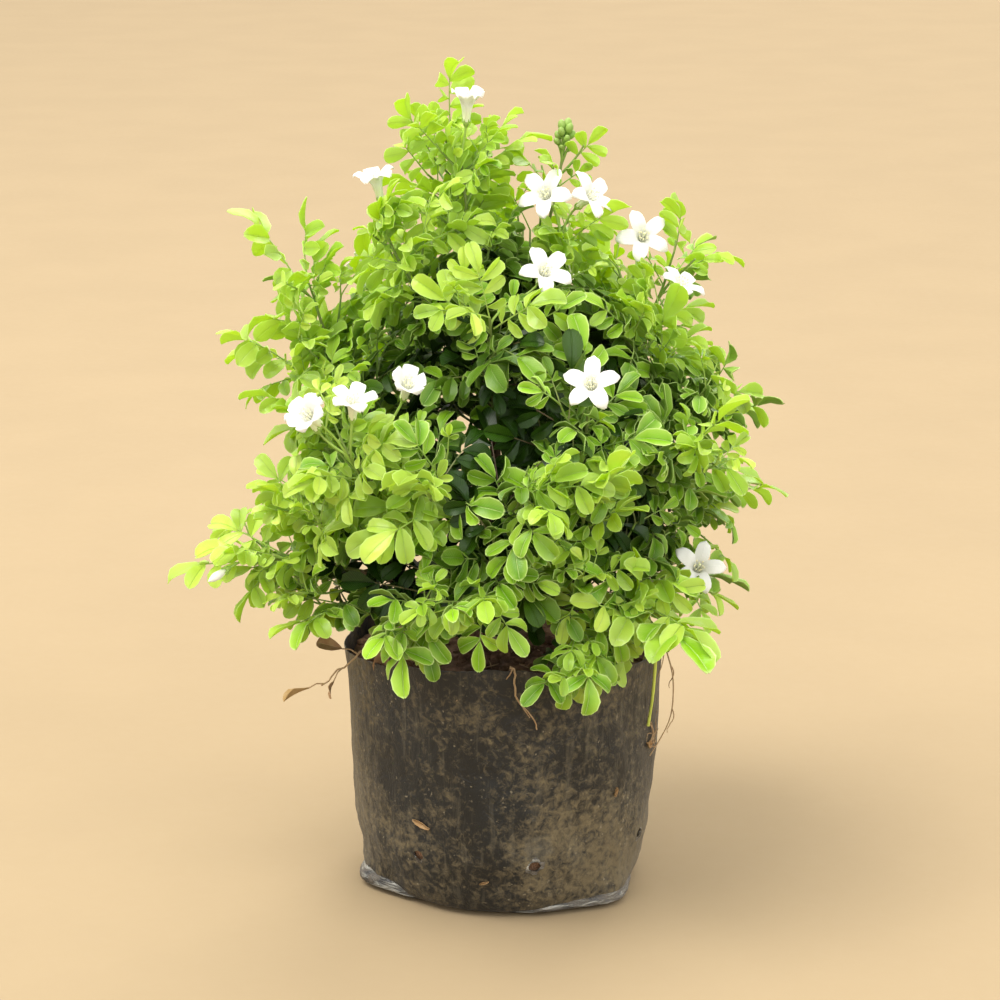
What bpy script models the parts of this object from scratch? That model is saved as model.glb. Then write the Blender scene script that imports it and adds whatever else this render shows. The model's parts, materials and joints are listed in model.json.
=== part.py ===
"""Orange jasmine in a black film grow bag: bag, soil, woody frame, leafy shoots, flowers.

Blender 4.5, metres, +Z up. The origin is the middle of the bag's flat base, -Y is the front,
and a bearing is counted in degrees from the front towards +X (the right-hand side).
"""

import math
import random
from typing import NamedTuple

import bmesh
import bpy
from mathutils import Matrix, Vector
from mathutils.bvhtree import BVHTree

SEAT_GAP = 0.0003
WELD = 0.000002
SMOOTH_ANGLE = 35.0
FLAT_ANGLE = 1.0
SEED = 44
GOLDEN_TURN = 137.5

# Bag
BAG_HEIGHT = 0.1065
BAG_RIM_RISE = 0.0045
BAG_RIM_RADIUS = 0.0665
BAG_WAIST_RADIUS = 0.0625
BAG_WAIST_HEIGHT = 0.026
BAG_HEEL_RADIUS = 0.0585
BAG_HEEL_HEIGHT = 0.009
BAG_FOOT_RADIUS = 0.050
BAG_FILM = 0.0009
BAG_STEPS = 28
BAG_EAR = 0.006
BAG_EAR_BEARINGS = (-72.0, 48.0)
BAG_EAR_SPREAD = 13.0
BAG_EAR_HEIGHT = 0.011
BAG_DENT = 0.0009
DRAIN_RADIUS = 0.0027
DRAIN_HEIGHT = 0.0255
DRAIN_BEARINGS = (-35.0, 11.0, 65.0, 125.0, 185.0, 245.0)
DRAIN_SIDES = 7
DRAIN_PUNCH_LENGTH = 0.010
BAG_COLLAR_HEIGHT = BAG_HEIGHT * 0.84
BAG_COLLAR_RADIUS = BAG_RIM_RADIUS - 0.0010
BAG_WALL_LINE = [
    (BAG_RIM_RADIUS, BAG_HEIGHT),
    (BAG_COLLAR_RADIUS, BAG_COLLAR_HEIGHT),
    (BAG_RIM_RADIUS - 0.0018, BAG_HEIGHT * 0.54),
    (BAG_WAIST_RADIUS, BAG_WAIST_HEIGHT),
    (BAG_HEEL_RADIUS, BAG_HEEL_HEIGHT),
    (BAG_HEEL_RADIUS - 0.0035, 0.0022),
]

# Soil
SOIL_HEIGHT = 0.0955
SOIL_MOUND = 0.0030
SOIL_ROUGHNESS = 0.0011
SOIL_RINGS = (0.0, 0.022, 0.044)
SOIL_PLAY = 0.0007
TRUNK_HOLE_FLOOR = 0.058
TRUNK_HOLE_SIDES = 12

# Wood
TRUNK_RADIUS = 0.0050
TRUNK_BEND_HEIGHT = 0.104
TRUNK_LEAN = (-0.10, 0.12)
TRUNK_LINE = ((0.085, 1.0), (0.100, 0.98), (0.112, 0.86), (0.124, 0.66))
LIMB_LIFT = 0.35
LIMB_OUTWARD = 0.3
SHOOT_PULL = 0.34
LIMB_START_RADIUS = 0.0030
LIMB_END_RADIUS = 0.0016
LIMB_RINGS = 4
SPUR_RADII = (0.0016, 0.00105)
SPUR_SHARE = 0.26
SPUR_LENGTH = 0.008
JOINT_GAP = 0.00045

# Leafy shoots
STEM_START_RADIUS = 0.0010
STEM_END_RADIUS = 0.0008
STEM_RINGS = 4
LEAF_THICKNESS = 0.0007
LEAF_LENGTH = 0.050
LEAF_SIZES = (0.86, 1.10)
LEAF_DROOPS = (0.10, 0.34)
LEAF_CLEARANCE = 0.0016
LEAF_CUP = 0.25
LEAF_STEP = 0.19
LEAF_ROOT = 0.0022
LEAF_SPARES = 3
TIP_LEAN = 0.15
SIDE_LEAN = 1.3
LEAF_TRIES = ((0, 0.1), (25, 0.3), (-25, -0.15), (50, 0.5), (-50, -0.35), (80, 0.6), (-80, -0.6))
LIGHT_LEAN = 1.0
NEAR_PARALLEL = 20.0
RACHIS_WIDTH = 0.0015
RACHIS_SHARES = (0.0, 0.27, 0.305, 0.55, 0.585)
LEAFLET_PAIRS = ((1, 66.0, 0.34), (3, 54.0, 0.38))
LEAFLET_BREADTH = 0.54
LEAFLET_WAIST = 0.62
LEAFLET_END = 0.97
LEAFLET_END_BREADTH = 0.5
END_LEAFLET = 0.415

# Flowers
BLOOM_SPREAD = 0.0115
BLOOM_TUBE = 0.0100
BLOOM_FOOT = 0.0012
BLOOM_THROAT = 0.0026
PETAL_WIDTH = 0.0068
PETAL_WAIST_SHARE = 0.6
PETAL_TIP_SHARE = 0.92
BLOOM_THROAT_SHARE = 0.66
PETAL_THICKNESS = 0.0007
CALYX_RADIUS = 0.0012
CALYX_LENGTH = 0.0020
STALK_RADIUS = 0.0006
STALK_SHARE = 0.93
STALK_STEP = 0.05
STALK_LEAD = 0.4
STALK_BEND = 0.45
BUD_LENGTH = 0.0085
BUD_WIDTH = 0.0036
GREEN_BUD_COUNT = 4
GREEN_BUD_RADIUS = 0.0017
GREEN_BUD_STRETCH = 1.7
GREEN_BUD_LEAN = (0.25, 0.13)
GREEN_BUD_STEP = 0.0009
GREEN_BUD_STAND = 1.6

# Strands over the rim
STRAND_START_DEPTH = 0.006
STRAND_START_REACH = 1.6

GREEN = (0.30, 0.62, 0.07, 1.0)
PALE_GREEN = (0.52, 0.74, 0.18, 1.0)
BARK = (0.23, 0.17, 0.11, 1.0)
DRY = (0.42, 0.30, 0.17, 1.0)
WHITE = (0.93, 0.93, 0.88, 1.0)
BLACK_FILM = (0.035, 0.033, 0.03, 1.0)
SOIL_BROWN = (0.20, 0.145, 0.10, 1.0)


class Limb(NamedTuple):
    """A woody limb: the height where it leaves the trunk, and where it ends."""

    height: float
    bearing: float
    reach: float
    top: float


class Shoot(NamedTuple):
    """A shoot: where its stem ends and how it rises there, its limb, and its leaves."""

    bearing: float
    reach: float
    top: float
    limb: str
    share: float
    rise: float
    leaves: int
    tip_leaf: bool = True
    buds: bool = False
    dry: bool = False
    leaf_size: float = 1.0


class Flower(NamedTuple):
    """A flower or closed bud: its shoot, the middle of its face, and where it faces."""

    shoot: str
    bearing: float
    reach: float
    top: float
    face_bearing: float
    face_rise: float
    closed: bool = False


class Strand(NamedTuple):
    """A root or stalk over the rim: where, how far it drops, drifts and swings out."""

    bearing: float
    drop: float
    drift: float
    swing: float
    radius: float
    green: bool = False


class Leaf(NamedTuple):
    """A compound leaf: its place as a matrix, its length and how far it droops."""

    place: Matrix
    length: float
    droop: float


LIMBS = {
    "leader": Limb(0.118, -140, 0.012, 0.232),
    "left": Limb(0.114, -88, 0.050, 0.192),
    "left_low": Limb(0.109, -62, 0.056, 0.138),
    "front": Limb(0.112, -8, 0.052, 0.168),
    "right_front": Limb(0.110, 48, 0.052, 0.144),
    "right": Limb(0.116, 100, 0.058, 0.184),
    "back_right": Limb(0.111, 150, 0.052, 0.158),
    "back_left": Limb(0.115, -144, 0.056, 0.176),
}

SHOOTS = {
    "crown_top": Shoot(-142, 0.034, 0.296, "leader", 0.97, 80, 3),
    "crown_bloom": Shoot(-95, 0.018, 0.308, "leader", 0.86, 85, 2, tip_leaf=False),
    "crown_left_bloom": Shoot(-78, 0.050, 0.282, "leader", 0.66, 75, 2, tip_leaf=False),
    "crown_right_bud": Shoot(130, 0.031, 0.306, "leader", 0.60, 82, 2, tip_leaf=False, buds=True),
    "crown_right_blooms": Shoot(90, 0.022, 0.266, "leader", 0.79, 70, 3, tip_leaf=False),
    "crown_middle": Shoot(-8, 0.044, 0.250, "leader", 0.46, 62, 3),
    "crown_back": Shoot(172, 0.056, 0.268, "leader", 0.72, 70, 2),
    "left_upright": Shoot(-90, 0.077, 0.246, "left", 0.98, 78, 3),
    "left_reach": Shoot(-97, 0.080, 0.214, "left", 0.84, 38, 2),
    "left_middle": Shoot(-76, 0.070, 0.196, "left", 0.62, 32, 2),
    "left_front_blooms": Shoot(-44, 0.088, 0.200, "left", 0.50, 68, 2, tip_leaf=False),
    "left_far": Shoot(-73, 0.094, 0.146, "left_low", 0.98, 12, 3),
    "left_far_upper": Shoot(-66, 0.088, 0.168, "left_low", 0.80, 36, 2),
    "left_low_pair": Shoot(-64, 0.074, 0.128, "left_low", 0.62, -8, 1),
    "front_left_bright": Shoot(-22, 0.078, 0.184, "front", 0.86, 50, 3),
    "front_middle": Shoot(4, 0.076, 0.184, "front", 0.97, 56, 3),
    "front_low": Shoot(-6, 0.078, 0.146, "front", 0.70, 8, 2),
    "front_left_droop": Shoot(-31, 0.074, 0.134, "front", 0.52, -22, 2),
    "front_right_bright": Shoot(24, 0.078, 0.178, "right_front", 0.70, 55, 3),
    "front_star": Shoot(32, 0.062, 0.212, "right_front", 0.54, 76, 2, tip_leaf=False),
    "front_right_droop": Shoot(22, 0.076, 0.126, "front", 0.36, -28, 2),
    "right_lip": Shoot(46, 0.072, 0.134, "right_front", 0.99, 5, 2),
    "right_front_star": Shoot(74, 0.078, 0.136, "right_front", 0.84, 24, 2, tip_leaf=False),
    "right_front_upper": Shoot(66, 0.078, 0.190, "right", 0.48, 52, 3),
    "right_star": Shoot(94, 0.054, 0.250, "right", 0.98, 78, 3, tip_leaf=False),
    "right_twig": Shoot(117, 0.074, 0.244, "right", 0.84, 52, 3),
    "right_spread": Shoot(107, 0.078, 0.190, "right", 0.72, 30, 2),
    "right_far": Shoot(103, 0.074, 0.158, "right", 0.62, 6, 2),
    "right_low": Shoot(88, 0.064, 0.134, "right", 0.30, 0, 1),
    "back_right_upper": Shoot(146, 0.076, 0.226, "back_right", 0.97, 60, 2),
    "back_right_low": Shoot(142, 0.088, 0.158, "back_right", 0.78, 12, 2),
    "back_middle": Shoot(176, 0.086, 0.198, "back_right", 0.88, 42, 2),
    "back_low": Shoot(170, 0.088, 0.142, "back_right", 0.58, 0, 2),
    "back_left_upper": Shoot(-136, 0.076, 0.232, "back_left", 0.97, 62, 2),
    "back_left_middle": Shoot(-128, 0.088, 0.186, "back_left", 0.80, 30, 2),
    "back_left_low": Shoot(-124, 0.088, 0.148, "back_left", 0.56, 4, 2),
    "dry_twig": Shoot(-55, 0.090, 0.100, "left_low", 0.40, -30, 2, dry=True, leaf_size=0.5),
}

FLOWERS = {
    "bloom_top": Flower("crown_bloom", -88, 0.015, 0.331, 20, 80),
    "bloom_top_left": Flower("crown_left_bloom", -80, 0.053, 0.301, -60, 76),
    "bloom_crown_a": Flower("crown_right_blooms", 60, 0.018, 0.294, -20, 34),
    "bloom_crown_b": Flower("crown_right_blooms", 90, 0.036, 0.292, 48, 36),
    "bloom_right_star": Flower("right_star", 96, 0.057, 0.274, 8, 30),
    "bloom_right_recurved": Flower("right_twig", 98, 0.074, 0.254, 60, 58),
    "bloom_middle": Flower("crown_middle", 24, 0.040, 0.268, 20, 40),
    "bloom_front_star": Flower("front_star", 25, 0.078, 0.230, -10, 36),
    "bloom_right_front": Flower("right_front_star", 71, 0.084, 0.143, 6, 34),
    "bloom_left_a": Flower("left_front_blooms", -50, 0.102, 0.218, -60, 58),
    "bloom_left_b": Flower("left_front_blooms", -38, 0.095, 0.225, 10, 66),
    "bloom_left_c": Flower("left_front_blooms", -42, 0.114, 0.221, -35, 34),
    "bloom_left_small": Flower("left_front_blooms", -30, 0.075, 0.229, 20, 50),
    "bloom_back_right": Flower("back_right_upper", 158, 0.088, 0.248, 165, 44),
    "bloom_back_left": Flower("back_left_upper", -140, 0.092, 0.252, -150, 44),
    "white_bud": Flower("left_far", -69, 0.128, 0.142, -60, -25, closed=True),
}

STRANDS = {
    "hanging_root_front": Strand(2, 0.025, 8, 0.003, 0.0006),
    "hanging_stalk_right": Strand(68, 0.030, -2, 0.001, 0.0008, green=True),
    "hanging_root_right": Strand(84, 0.044, -14, 0.007, 0.0005),
}


def clear_scene():
    for obj in list(bpy.data.objects):
        bpy.data.objects.remove(obj)


def collection(name):
    made = bpy.data.collections.new(name)
    bpy.context.scene.collection.children.link(made)
    return made


def material(name, colour, roughness):
    made = bpy.data.materials.new(name)
    made.use_nodes = True
    shader = made.node_tree.nodes["Principled BSDF"]
    shader.inputs["Base Color"].default_value = colour
    shader.inputs["Roughness"].default_value = roughness
    shader.inputs["Metallic"].default_value = 0.0
    return made


def at(bearing, reach, height):
    """The point at this bearing (degrees from the front towards +X), reach and height."""
    turn = math.radians(bearing)
    return Vector((reach * math.sin(turn), -reach * math.cos(turn), height))


def facing(bearing, rise):
    """The unit vector with this bearing and this angle above the horizon, in degrees."""
    lift = math.radians(rise)
    return at(bearing, math.cos(lift), math.sin(lift))


def bearing_of(point):
    return math.degrees(math.atan2(point.x, -point.y))


def turn_between(a, b):
    """The angle between two bearings, from 0 to 180 degrees."""
    return abs((a - b + 180.0) % 360.0 - 180.0)


def bezier(points, share):
    """The point at this share of the cubic curve through its four control points."""
    a, b, c, d = points
    rest = 1.0 - share
    return a * rest**3 + b * 3 * rest**2 * share + c * 3 * rest * share**2 + d * share**3


def bezier_tangent(points, share):
    a, b, c, d = points
    rest = 1.0 - share
    along = (b - a) * rest**2 + (c - b) * 2 * rest * share + (d - c) * share**2
    return along.normalized()


def new_object(name, mesh, home, finish):
    """An object with one finish, shaded smooth where its faces nearly line up."""
    obj = bpy.data.objects.new(name, mesh)
    mesh.materials.clear()
    mesh.materials.append(finish)
    mesh.shade_smooth()
    mesh.set_sharp_from_angle(angle=math.radians(SMOOTH_ANGLE))
    home.objects.link(obj)
    return obj


def baked_mesh(obj):
    """The object's evaluated mesh in world space, with its loose caps welded."""
    bpy.context.view_layer.update()
    graph = bpy.context.evaluated_depsgraph_get()
    mesh = bpy.data.meshes.new_from_object(obj.evaluated_get(graph))
    mesh.transform(obj.matrix_world)
    form = bmesh.new()
    form.from_mesh(mesh)
    bmesh.ops.remove_doubles(form, verts=form.verts, dist=WELD)
    bmesh.ops.triangulate(form, faces=form.faces)
    form.to_mesh(mesh)
    form.free()
    return mesh


def simplify(mesh):
    """Takes out the points that a union leaves on flat faces and straight edges."""
    form = bmesh.new()
    form.from_mesh(mesh)
    limit = math.radians(FLAT_ANGLE)
    bmesh.ops.dissolve_limit(form, angle_limit=limit, verts=form.verts, edges=form.edges)
    bmesh.ops.triangulate(form, faces=form.faces)
    form.to_mesh(mesh)
    form.free()


def tube_mesh(points, radii, resolution):
    """A closed tube through the points: a poly curve with a bevel, made a mesh."""
    curve = bpy.data.curves.new("tube", "CURVE")
    curve.dimensions = "3D"
    curve.bevel_depth = 1.0
    curve.bevel_resolution = resolution
    curve.use_fill_caps = True
    spline = curve.splines.new("POLY")
    spline.points.add(len(points) - 1)
    for spot, point, radius in zip(spline.points, points, radii):
        spot.co = (*point, 1.0)
        spot.radius = radius
    obj = bpy.data.objects.new("tube", curve)
    bpy.context.scene.collection.objects.link(obj)
    mesh = baked_mesh(obj)
    bpy.data.objects.remove(obj)
    return mesh


def turned_mesh(profile, steps):
    """A turned shape: the profile, in the X-Z plane, swept round Z by a Screw modifier."""
    mesh = bpy.data.meshes.new("profile")
    edges = [(i, i + 1) for i in range(len(profile) - 1)]
    mesh.from_pydata([(radius, 0.0, height) for radius, height in profile], edges, [])
    obj = bpy.data.objects.new("profile", mesh)
    bpy.context.scene.collection.objects.link(obj)
    turn = obj.modifiers.new("turn", "SCREW")
    turn.steps = turn.render_steps = steps
    turn.use_merge_vertices = True
    turn.merge_threshold = WELD
    turned = baked_mesh(obj)
    bpy.data.objects.remove(obj)
    return turned


def fuse(name, base, others, home, finish):
    """One solid: the base mesh with the other meshes joined to it by a Boolean union."""
    obj = new_object(name, base, home, finish)
    joined = collection("joined")
    for mesh in others:
        new_object("piece", mesh, joined, finish)
    union = obj.modifiers.new("union", "BOOLEAN")
    union.operation = "UNION"
    union.operand_type = "COLLECTION"
    union.collection = joined
    union.solver = "MANIFOLD"
    whole = baked_mesh(obj)
    simplify(whole)
    for piece in list(joined.objects) + [obj]:
        bpy.data.objects.remove(piece)
    bpy.data.collections.remove(joined)
    return new_object(name, whole, home, finish)


def cutter_cylinder(name, sides, radius, depth, location, rotation, home):
    """A cylinder that only cuts: it shows as wire and isn't rendered."""
    bpy.ops.mesh.primitive_cylinder_add(
        vertices=sides, radius=radius, depth=depth, location=location, rotation=rotation
    )
    cutter = bpy.context.object
    cutter.name = name
    for place in list(cutter.users_collection):
        place.objects.unlink(cutter)
    home.objects.link(cutter)
    cutter.hide_render = True
    cutter.display_type = "WIRE"
    return cutter


def cut_with(obj, cutters):
    """Cuts every shape in the collection out of the object."""
    cut = obj.modifiers.new("cut", "BOOLEAN")
    cut.operation = "DIFFERENCE"
    cut.operand_type = "COLLECTION"
    cut.collection = cutters


def dent(bearing, height):
    """How far the soft wall bulges or sinks at a place."""
    turn = math.radians(bearing)
    wave = math.sin(3 * turn + 0.8) + 0.6 * math.sin(7 * turn + 45 * height)
    return BAG_DENT * wave * min(1.0, height / BAG_WAIST_HEIGHT)


def ear(bearing, height):
    """How far the folded bottom corners stand out."""
    nearest = min(turn_between(bearing, other) for other in BAG_EAR_BEARINGS)
    across = math.exp(-((nearest / BAG_EAR_SPREAD) ** 2))
    return BAG_EAR * across * math.exp(-((height / BAG_EAR_HEIGHT) ** 2))


def rim_height(bearing):
    """The rim stands higher at the front and back than at the sides."""
    return BAG_HEIGHT + BAG_RIM_RISE * math.cos(2 * math.radians(bearing))


def film_reach(bearing, height):
    """The outer reach of the wall at a place above its heel."""
    for (outer, above), (inner, below) in zip(BAG_WALL_LINE, BAG_WALL_LINE[1:]):
        if height >= below:
            share = min(1.0, (height - below) / (above - below))
            return inner + (outer - inner) * share + dent(bearing, height)
    return BAG_HEEL_RADIUS


def shape_wall(mesh, with_ears):
    """Moves the vertices of a turned wall to the soft form of the filled bag."""
    for vertex in mesh.vertices:
        spot = vertex.co
        reach = math.hypot(spot.x, spot.y)
        if reach < BAG_FOOT_RADIUS * 0.9:
            continue
        bearing = bearing_of(spot)
        out = dent(bearing, spot.z)
        if with_ears:
            out += ear(bearing, spot.z)
        spot.x *= (reach + out) / reach
        spot.y *= (reach + out) / reach
        lift = rim_height(bearing) - BAG_HEIGHT
        spot.z += lift * max(0.0, spot.z / BAG_HEIGHT) ** 4


def make_bag(home, finish):
    """The film as an open turned wall with thickness, and its drain holes."""
    foot = [(BAG_FOOT_RADIUS, 0.0), (0.0, 0.0)]
    mesh = turned_mesh(BAG_WALL_LINE + foot, BAG_STEPS)
    shape_wall(mesh, with_ears=True)
    bag = new_object("grow_bag", mesh, home, finish)
    wall = bag.modifiers.new("film", "SOLIDIFY")
    wall.thickness = BAG_FILM
    wall.offset = -1.0
    punches = collection("drain_punches")
    for bearing in DRAIN_BEARINGS:
        cutter_cylinder(
            f"drain_punch_{round(bearing) % 360}",
            DRAIN_SIDES,
            DRAIN_RADIUS,
            DRAIN_PUNCH_LENGTH,
            at(bearing, film_reach(bearing, DRAIN_HEIGHT), DRAIN_HEIGHT),
            (math.radians(90), 0.0, math.radians(bearing)),
            punches,
        )
    cut_with(bag, punches)


def soil_top(bearing, reach):
    """Height of the soil: a low mound round the trunk, with small clods."""
    turn = math.radians(bearing)
    mound = SOIL_MOUND * (1.0 - (reach / BAG_RIM_RADIUS) ** 2)
    clods = math.sin(5 * turn + 170 * reach) + math.sin(3 * turn - 240 * reach + 1.3)
    return SOIL_HEIGHT + mound + SOIL_ROUGHNESS * clods


def make_soil(home, finish):
    """The root ball and earth, inside the film, with a plain hole for the trunk."""
    floor = BAG_FILM + SEAT_GAP
    wall = [BAG_WALL_LINE[1]] + BAG_WALL_LINE[3:-1]
    side = [(radius - BAG_FILM - SOIL_PLAY, height) for radius, height in wall]
    bottom = [(BAG_FOOT_RADIUS - BAG_FILM - SOIL_PLAY, floor), (0.0, floor)]
    top = [(reach, SOIL_HEIGHT) for reach in SOIL_RINGS]
    mesh = turned_mesh(top + side + bottom, BAG_STEPS)
    shape_wall(mesh, with_ears=False)
    for vertex in mesh.vertices:
        spot = vertex.co
        if spot.z > BAG_COLLAR_HEIGHT * 0.95:
            spot.z = soil_top(bearing_of(spot), math.hypot(spot.x, spot.y))
    soil = new_object("soil", mesh, home, finish)
    drills = collection("trunk_drill")
    depth = BAG_HEIGHT - TRUNK_HOLE_FLOOR
    middle = TRUNK_HOLE_FLOOR + depth / 2
    radius = TRUNK_RADIUS + SEAT_GAP * 2
    upright = (0.0, 0.0, 0.0)
    place = (0.0, 0.0, middle)
    cutter_cylinder("trunk_hole", TRUNK_HOLE_SIDES, radius, depth, place, upright, drills)
    cut_with(soil, drills)


def trunk_at(height):
    """The trunk's middle line: upright in the soil, then a slight bend."""
    above = max(0.0, height - TRUNK_BEND_HEIGHT)
    return Vector((TRUNK_LEAN[0] * above, TRUNK_LEAN[1] * above, height))


def limb_curve(limb):
    """The line of a woody limb, which leaves the trunk steeply and bends outward."""
    start = trunk_at(limb.height)
    end = at(limb.bearing, limb.reach, limb.top)
    lift = Vector((0.0, 0.0, LIMB_LIFT * (end.z - start.z)))
    outward = (end - start) * LIMB_OUTWARD
    return [start, start + outward * 0.6 + lift, end - outward, end]


def shoot_curve(shoot):
    """The line of a shoot, from the limb that carries it to the end of its stem."""
    limb = limb_curve(LIMBS[shoot.limb])
    start = bezier(limb, shoot.share)
    end = at(shoot.bearing, shoot.reach, shoot.top)
    length = (end - start).length
    leave = (bezier_tangent(limb, shoot.share) + (end - start).normalized()).normalized()
    arrive = facing(shoot.bearing, shoot.rise)
    pull = length * SHOOT_PULL
    return [start, start + leave * pull, end - arrive * pull, end]


def wood_share(line):
    """The share of a shoot's line that is a woody spur, long enough to clear its limb."""
    return max(SPUR_SHARE, SPUR_LENGTH / (line[3] - line[0]).length)


def points_between(line, first, last, count):
    return [bezier(line, first + (last - first) * i / (count - 1)) for i in range(count)]


def tapered(first, last, count):
    return [first + (last - first) * i / (count - 1) for i in range(count)]


def make_wood(home, finish):
    """Trunk, limbs and spurs, grown as one piece."""
    line = [(TRUNK_HOLE_FLOOR + SEAT_GAP, 1.0), *TRUNK_LINE]
    radii = [TRUNK_RADIUS * width for _, width in line]
    trunk = tube_mesh([trunk_at(height) for height, _ in line], radii, 2)
    others = []
    for limb in LIMBS.values():
        radii = tapered(LIMB_START_RADIUS, LIMB_END_RADIUS, LIMB_RINGS)
        others.append(tube_mesh(points_between(limb_curve(limb), 0.0, 1.0, LIMB_RINGS), radii, 0))
    for shoot in SHOOTS.values():
        line = shoot_curve(shoot)
        others.append(tube_mesh(points_between(line, 0.0, wood_share(line), 2), SPUR_RADII, 0))
    fuse("woody_frame", trunk, others, home, finish)


def make_strands(home, dry, pale):
    """Dry roots and a bare stalk that come over the rim and hang down outside the film."""
    for name, strand in STRANDS.items():
        rim = rim_height(strand.bearing)
        clear = strand.radius + SEAT_GAP * 2
        route = [
            (0.0, (-BAG_FILM - clear) * STRAND_START_REACH, rim - STRAND_START_DEPTH),
            (0.0, -BAG_FILM - clear, rim + clear - strand.radius),
            (0.0, -BAG_FILM / 2, rim + clear),
            (0.0, clear, rim + clear - strand.radius),
        ]
        for share in (0.3, 0.65, 1.0):
            swing = clear + strand.swing * math.sin(math.pi * share)
            route.append((strand.drift * share, swing, rim - strand.drop * share))
        points = []
        for drift, off, height in route:
            bearing = strand.bearing + drift
            points.append(at(bearing, film_reach(bearing, height) + off, height))
        finish = pale if strand.green else dry
        new_object(name, tube_mesh(points, [strand.radius] * len(points), 0), home, finish)


def leaflet(base, direction, size):
    """Outline of one leaflet beyond its neck: four points from side to side, broad and blunt."""
    across = Vector((-direction.y, direction.x, 0.0)) * size * LEAFLET_BREADTH / 2
    waist = base + direction * size * LEAFLET_WAIST
    end = base + direction * size * LEAFLET_END
    blunt = across * LEAFLET_END_BREADTH
    return [waist + across, end + blunt, end - blunt, waist - across]


def add_leaflet(form, near, far, direction, size):
    """Adds a leaflet to the rachis edge from near to far."""
    base = (near.co + far.co) / 2
    outline = [form.verts.new(point) for point in leaflet(base, direction, size)]
    form.faces.new((near, far, outline[3], outline[0]))
    form.faces.new((outline[0], outline[3], outline[2], outline[1]))


def leaf_sheet(length, droop, cup):
    """A compound leaf along +X as an arched open sheet: rachis, two pairs, end leaflet."""
    form = bmesh.new()
    half = RACHIS_WIDTH / 2
    left = [form.verts.new((length * share, half, 0.0)) for share in RACHIS_SHARES]
    right = [form.verts.new((length * share, -half, 0.0)) for share in RACHIS_SHARES]
    for i in range(len(RACHIS_SHARES) - 1):
        form.faces.new((left[i], right[i], right[i + 1], left[i + 1]))
    for i, angle, share in LEAFLET_PAIRS:
        turn = math.radians(angle)
        size = share * length
        out = Vector((math.cos(turn), math.sin(turn), 0.0))
        add_leaflet(form, left[i], left[i + 1], out, size)
        add_leaflet(form, right[i + 1], right[i], Vector((out.x, -out.y, 0.0)), size)
    add_leaflet(form, left[-1], right[-1], Vector((1.0, 0.0, 0.0)), END_LEAFLET * length)
    bmesh.ops.recalc_face_normals(form, faces=form.faces)
    if sum(face.normal.z for face in form.faces) < 0:
        bmesh.ops.reverse_faces(form, faces=form.faces)
    bmesh.ops.triangulate(form, faces=form.faces)
    for vertex in form.verts:
        spot = vertex.co
        spot.z += (cup * spot.y**2 - droop * spot.x**2) / length
    form.normal_update()
    return form


def leaf_mesh(leaf, thickness):
    """The compound leaf as a thin closed blade, laid in its place."""
    form = leaf_sheet(leaf.length, leaf.droop, LEAF_CUP)
    bmesh.ops.solidify(form, geom=form.faces[:], thickness=thickness)
    shift = Matrix.Translation((0.0, 0.0, thickness / 2))
    bmesh.ops.transform(form, matrix=leaf.place @ shift, verts=form.verts)
    bmesh.ops.recalc_face_normals(form, faces=form.faces)
    mesh = bpy.data.meshes.new("leaf")
    form.to_mesh(mesh)
    form.free()
    return mesh


def leaf_place(origin, direction, roll):
    """The matrix that lays a leaf along direction, its face turned to the light and rolled."""
    along = direction.normalized()
    light = Vector((origin.x, origin.y, 0.0)).normalized() * LIGHT_LEAN + Vector((0.0, 0.0, 1.0))
    if light.angle(along) < math.radians(NEAR_PARALLEL):
        light = Vector((0.0, 0.0, 1.0))
    side = light.cross(along).normalized()
    normal = along.cross(side)
    turn = Matrix.Rotation(math.radians(roll), 3, along)
    columns = Matrix((along, turn @ side, turn @ normal)).transposed()
    return Matrix.Translation(origin) @ columns.to_4x4()


def round_point(angle, reach, height):
    """The point at this angle, in radians, round a flower's own axis."""
    return Vector((reach * math.cos(angle), reach * math.sin(angle), height))


def tree_of(mesh):
    """A search tree over a mesh's faces, for finding what crosses it."""
    form = bmesh.new()
    form.from_mesh(mesh)
    tree = BVHTree.FromBMesh(form)
    form.free()
    return tree


def stem_mesh(shoot):
    """A shoot's green stem, which starts face to face with its woody spur."""
    line = shoot_curve(shoot)
    length = (line[3] - line[0]).length
    start = wood_share(line) + JOINT_GAP / length
    radii = tapered(STEM_START_RADIUS, STEM_END_RADIUS, STEM_RINGS)
    return tube_mesh(points_between(line, start, 1.0, STEM_RINGS), radii, 0)


def flower_base(flower):
    """Where the flower starts, just above its calyx."""
    centre = at(flower.bearing, flower.reach, flower.top)
    depth = BUD_LENGTH if flower.closed else BLOOM_TUBE
    return centre - facing(flower.face_bearing, flower.face_rise) * depth


def stalk_mesh(flower):
    """A flower's green stalk: from inside its shoot's stem to the calyx under the flower."""
    line = shoot_curve(SHOOTS[flower.shoot])
    sisters = [other for other in FLOWERS.values() if other.shoot == flower.shoot]
    share = STALK_SHARE - STALK_STEP * sisters.index(flower)
    start = bezier(line, share)
    axis = facing(flower.face_bearing, flower.face_rise)
    end = flower_base(flower) - axis * (SEAT_GAP + PETAL_THICKNESS / 2)
    reach = (end - start).length
    lead = start + bezier_tangent(line, share) * reach * STALK_LEAD
    curve = [start, lead, end - axis * reach * STALK_BEND, end]
    points = [start, bezier(curve, STALK_BEND), end - axis * CALYX_LENGTH, end]
    radii = (STALK_RADIUS, STALK_RADIUS, STALK_RADIUS, CALYX_RADIUS)
    return tube_mesh(points, radii, 0)


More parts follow.
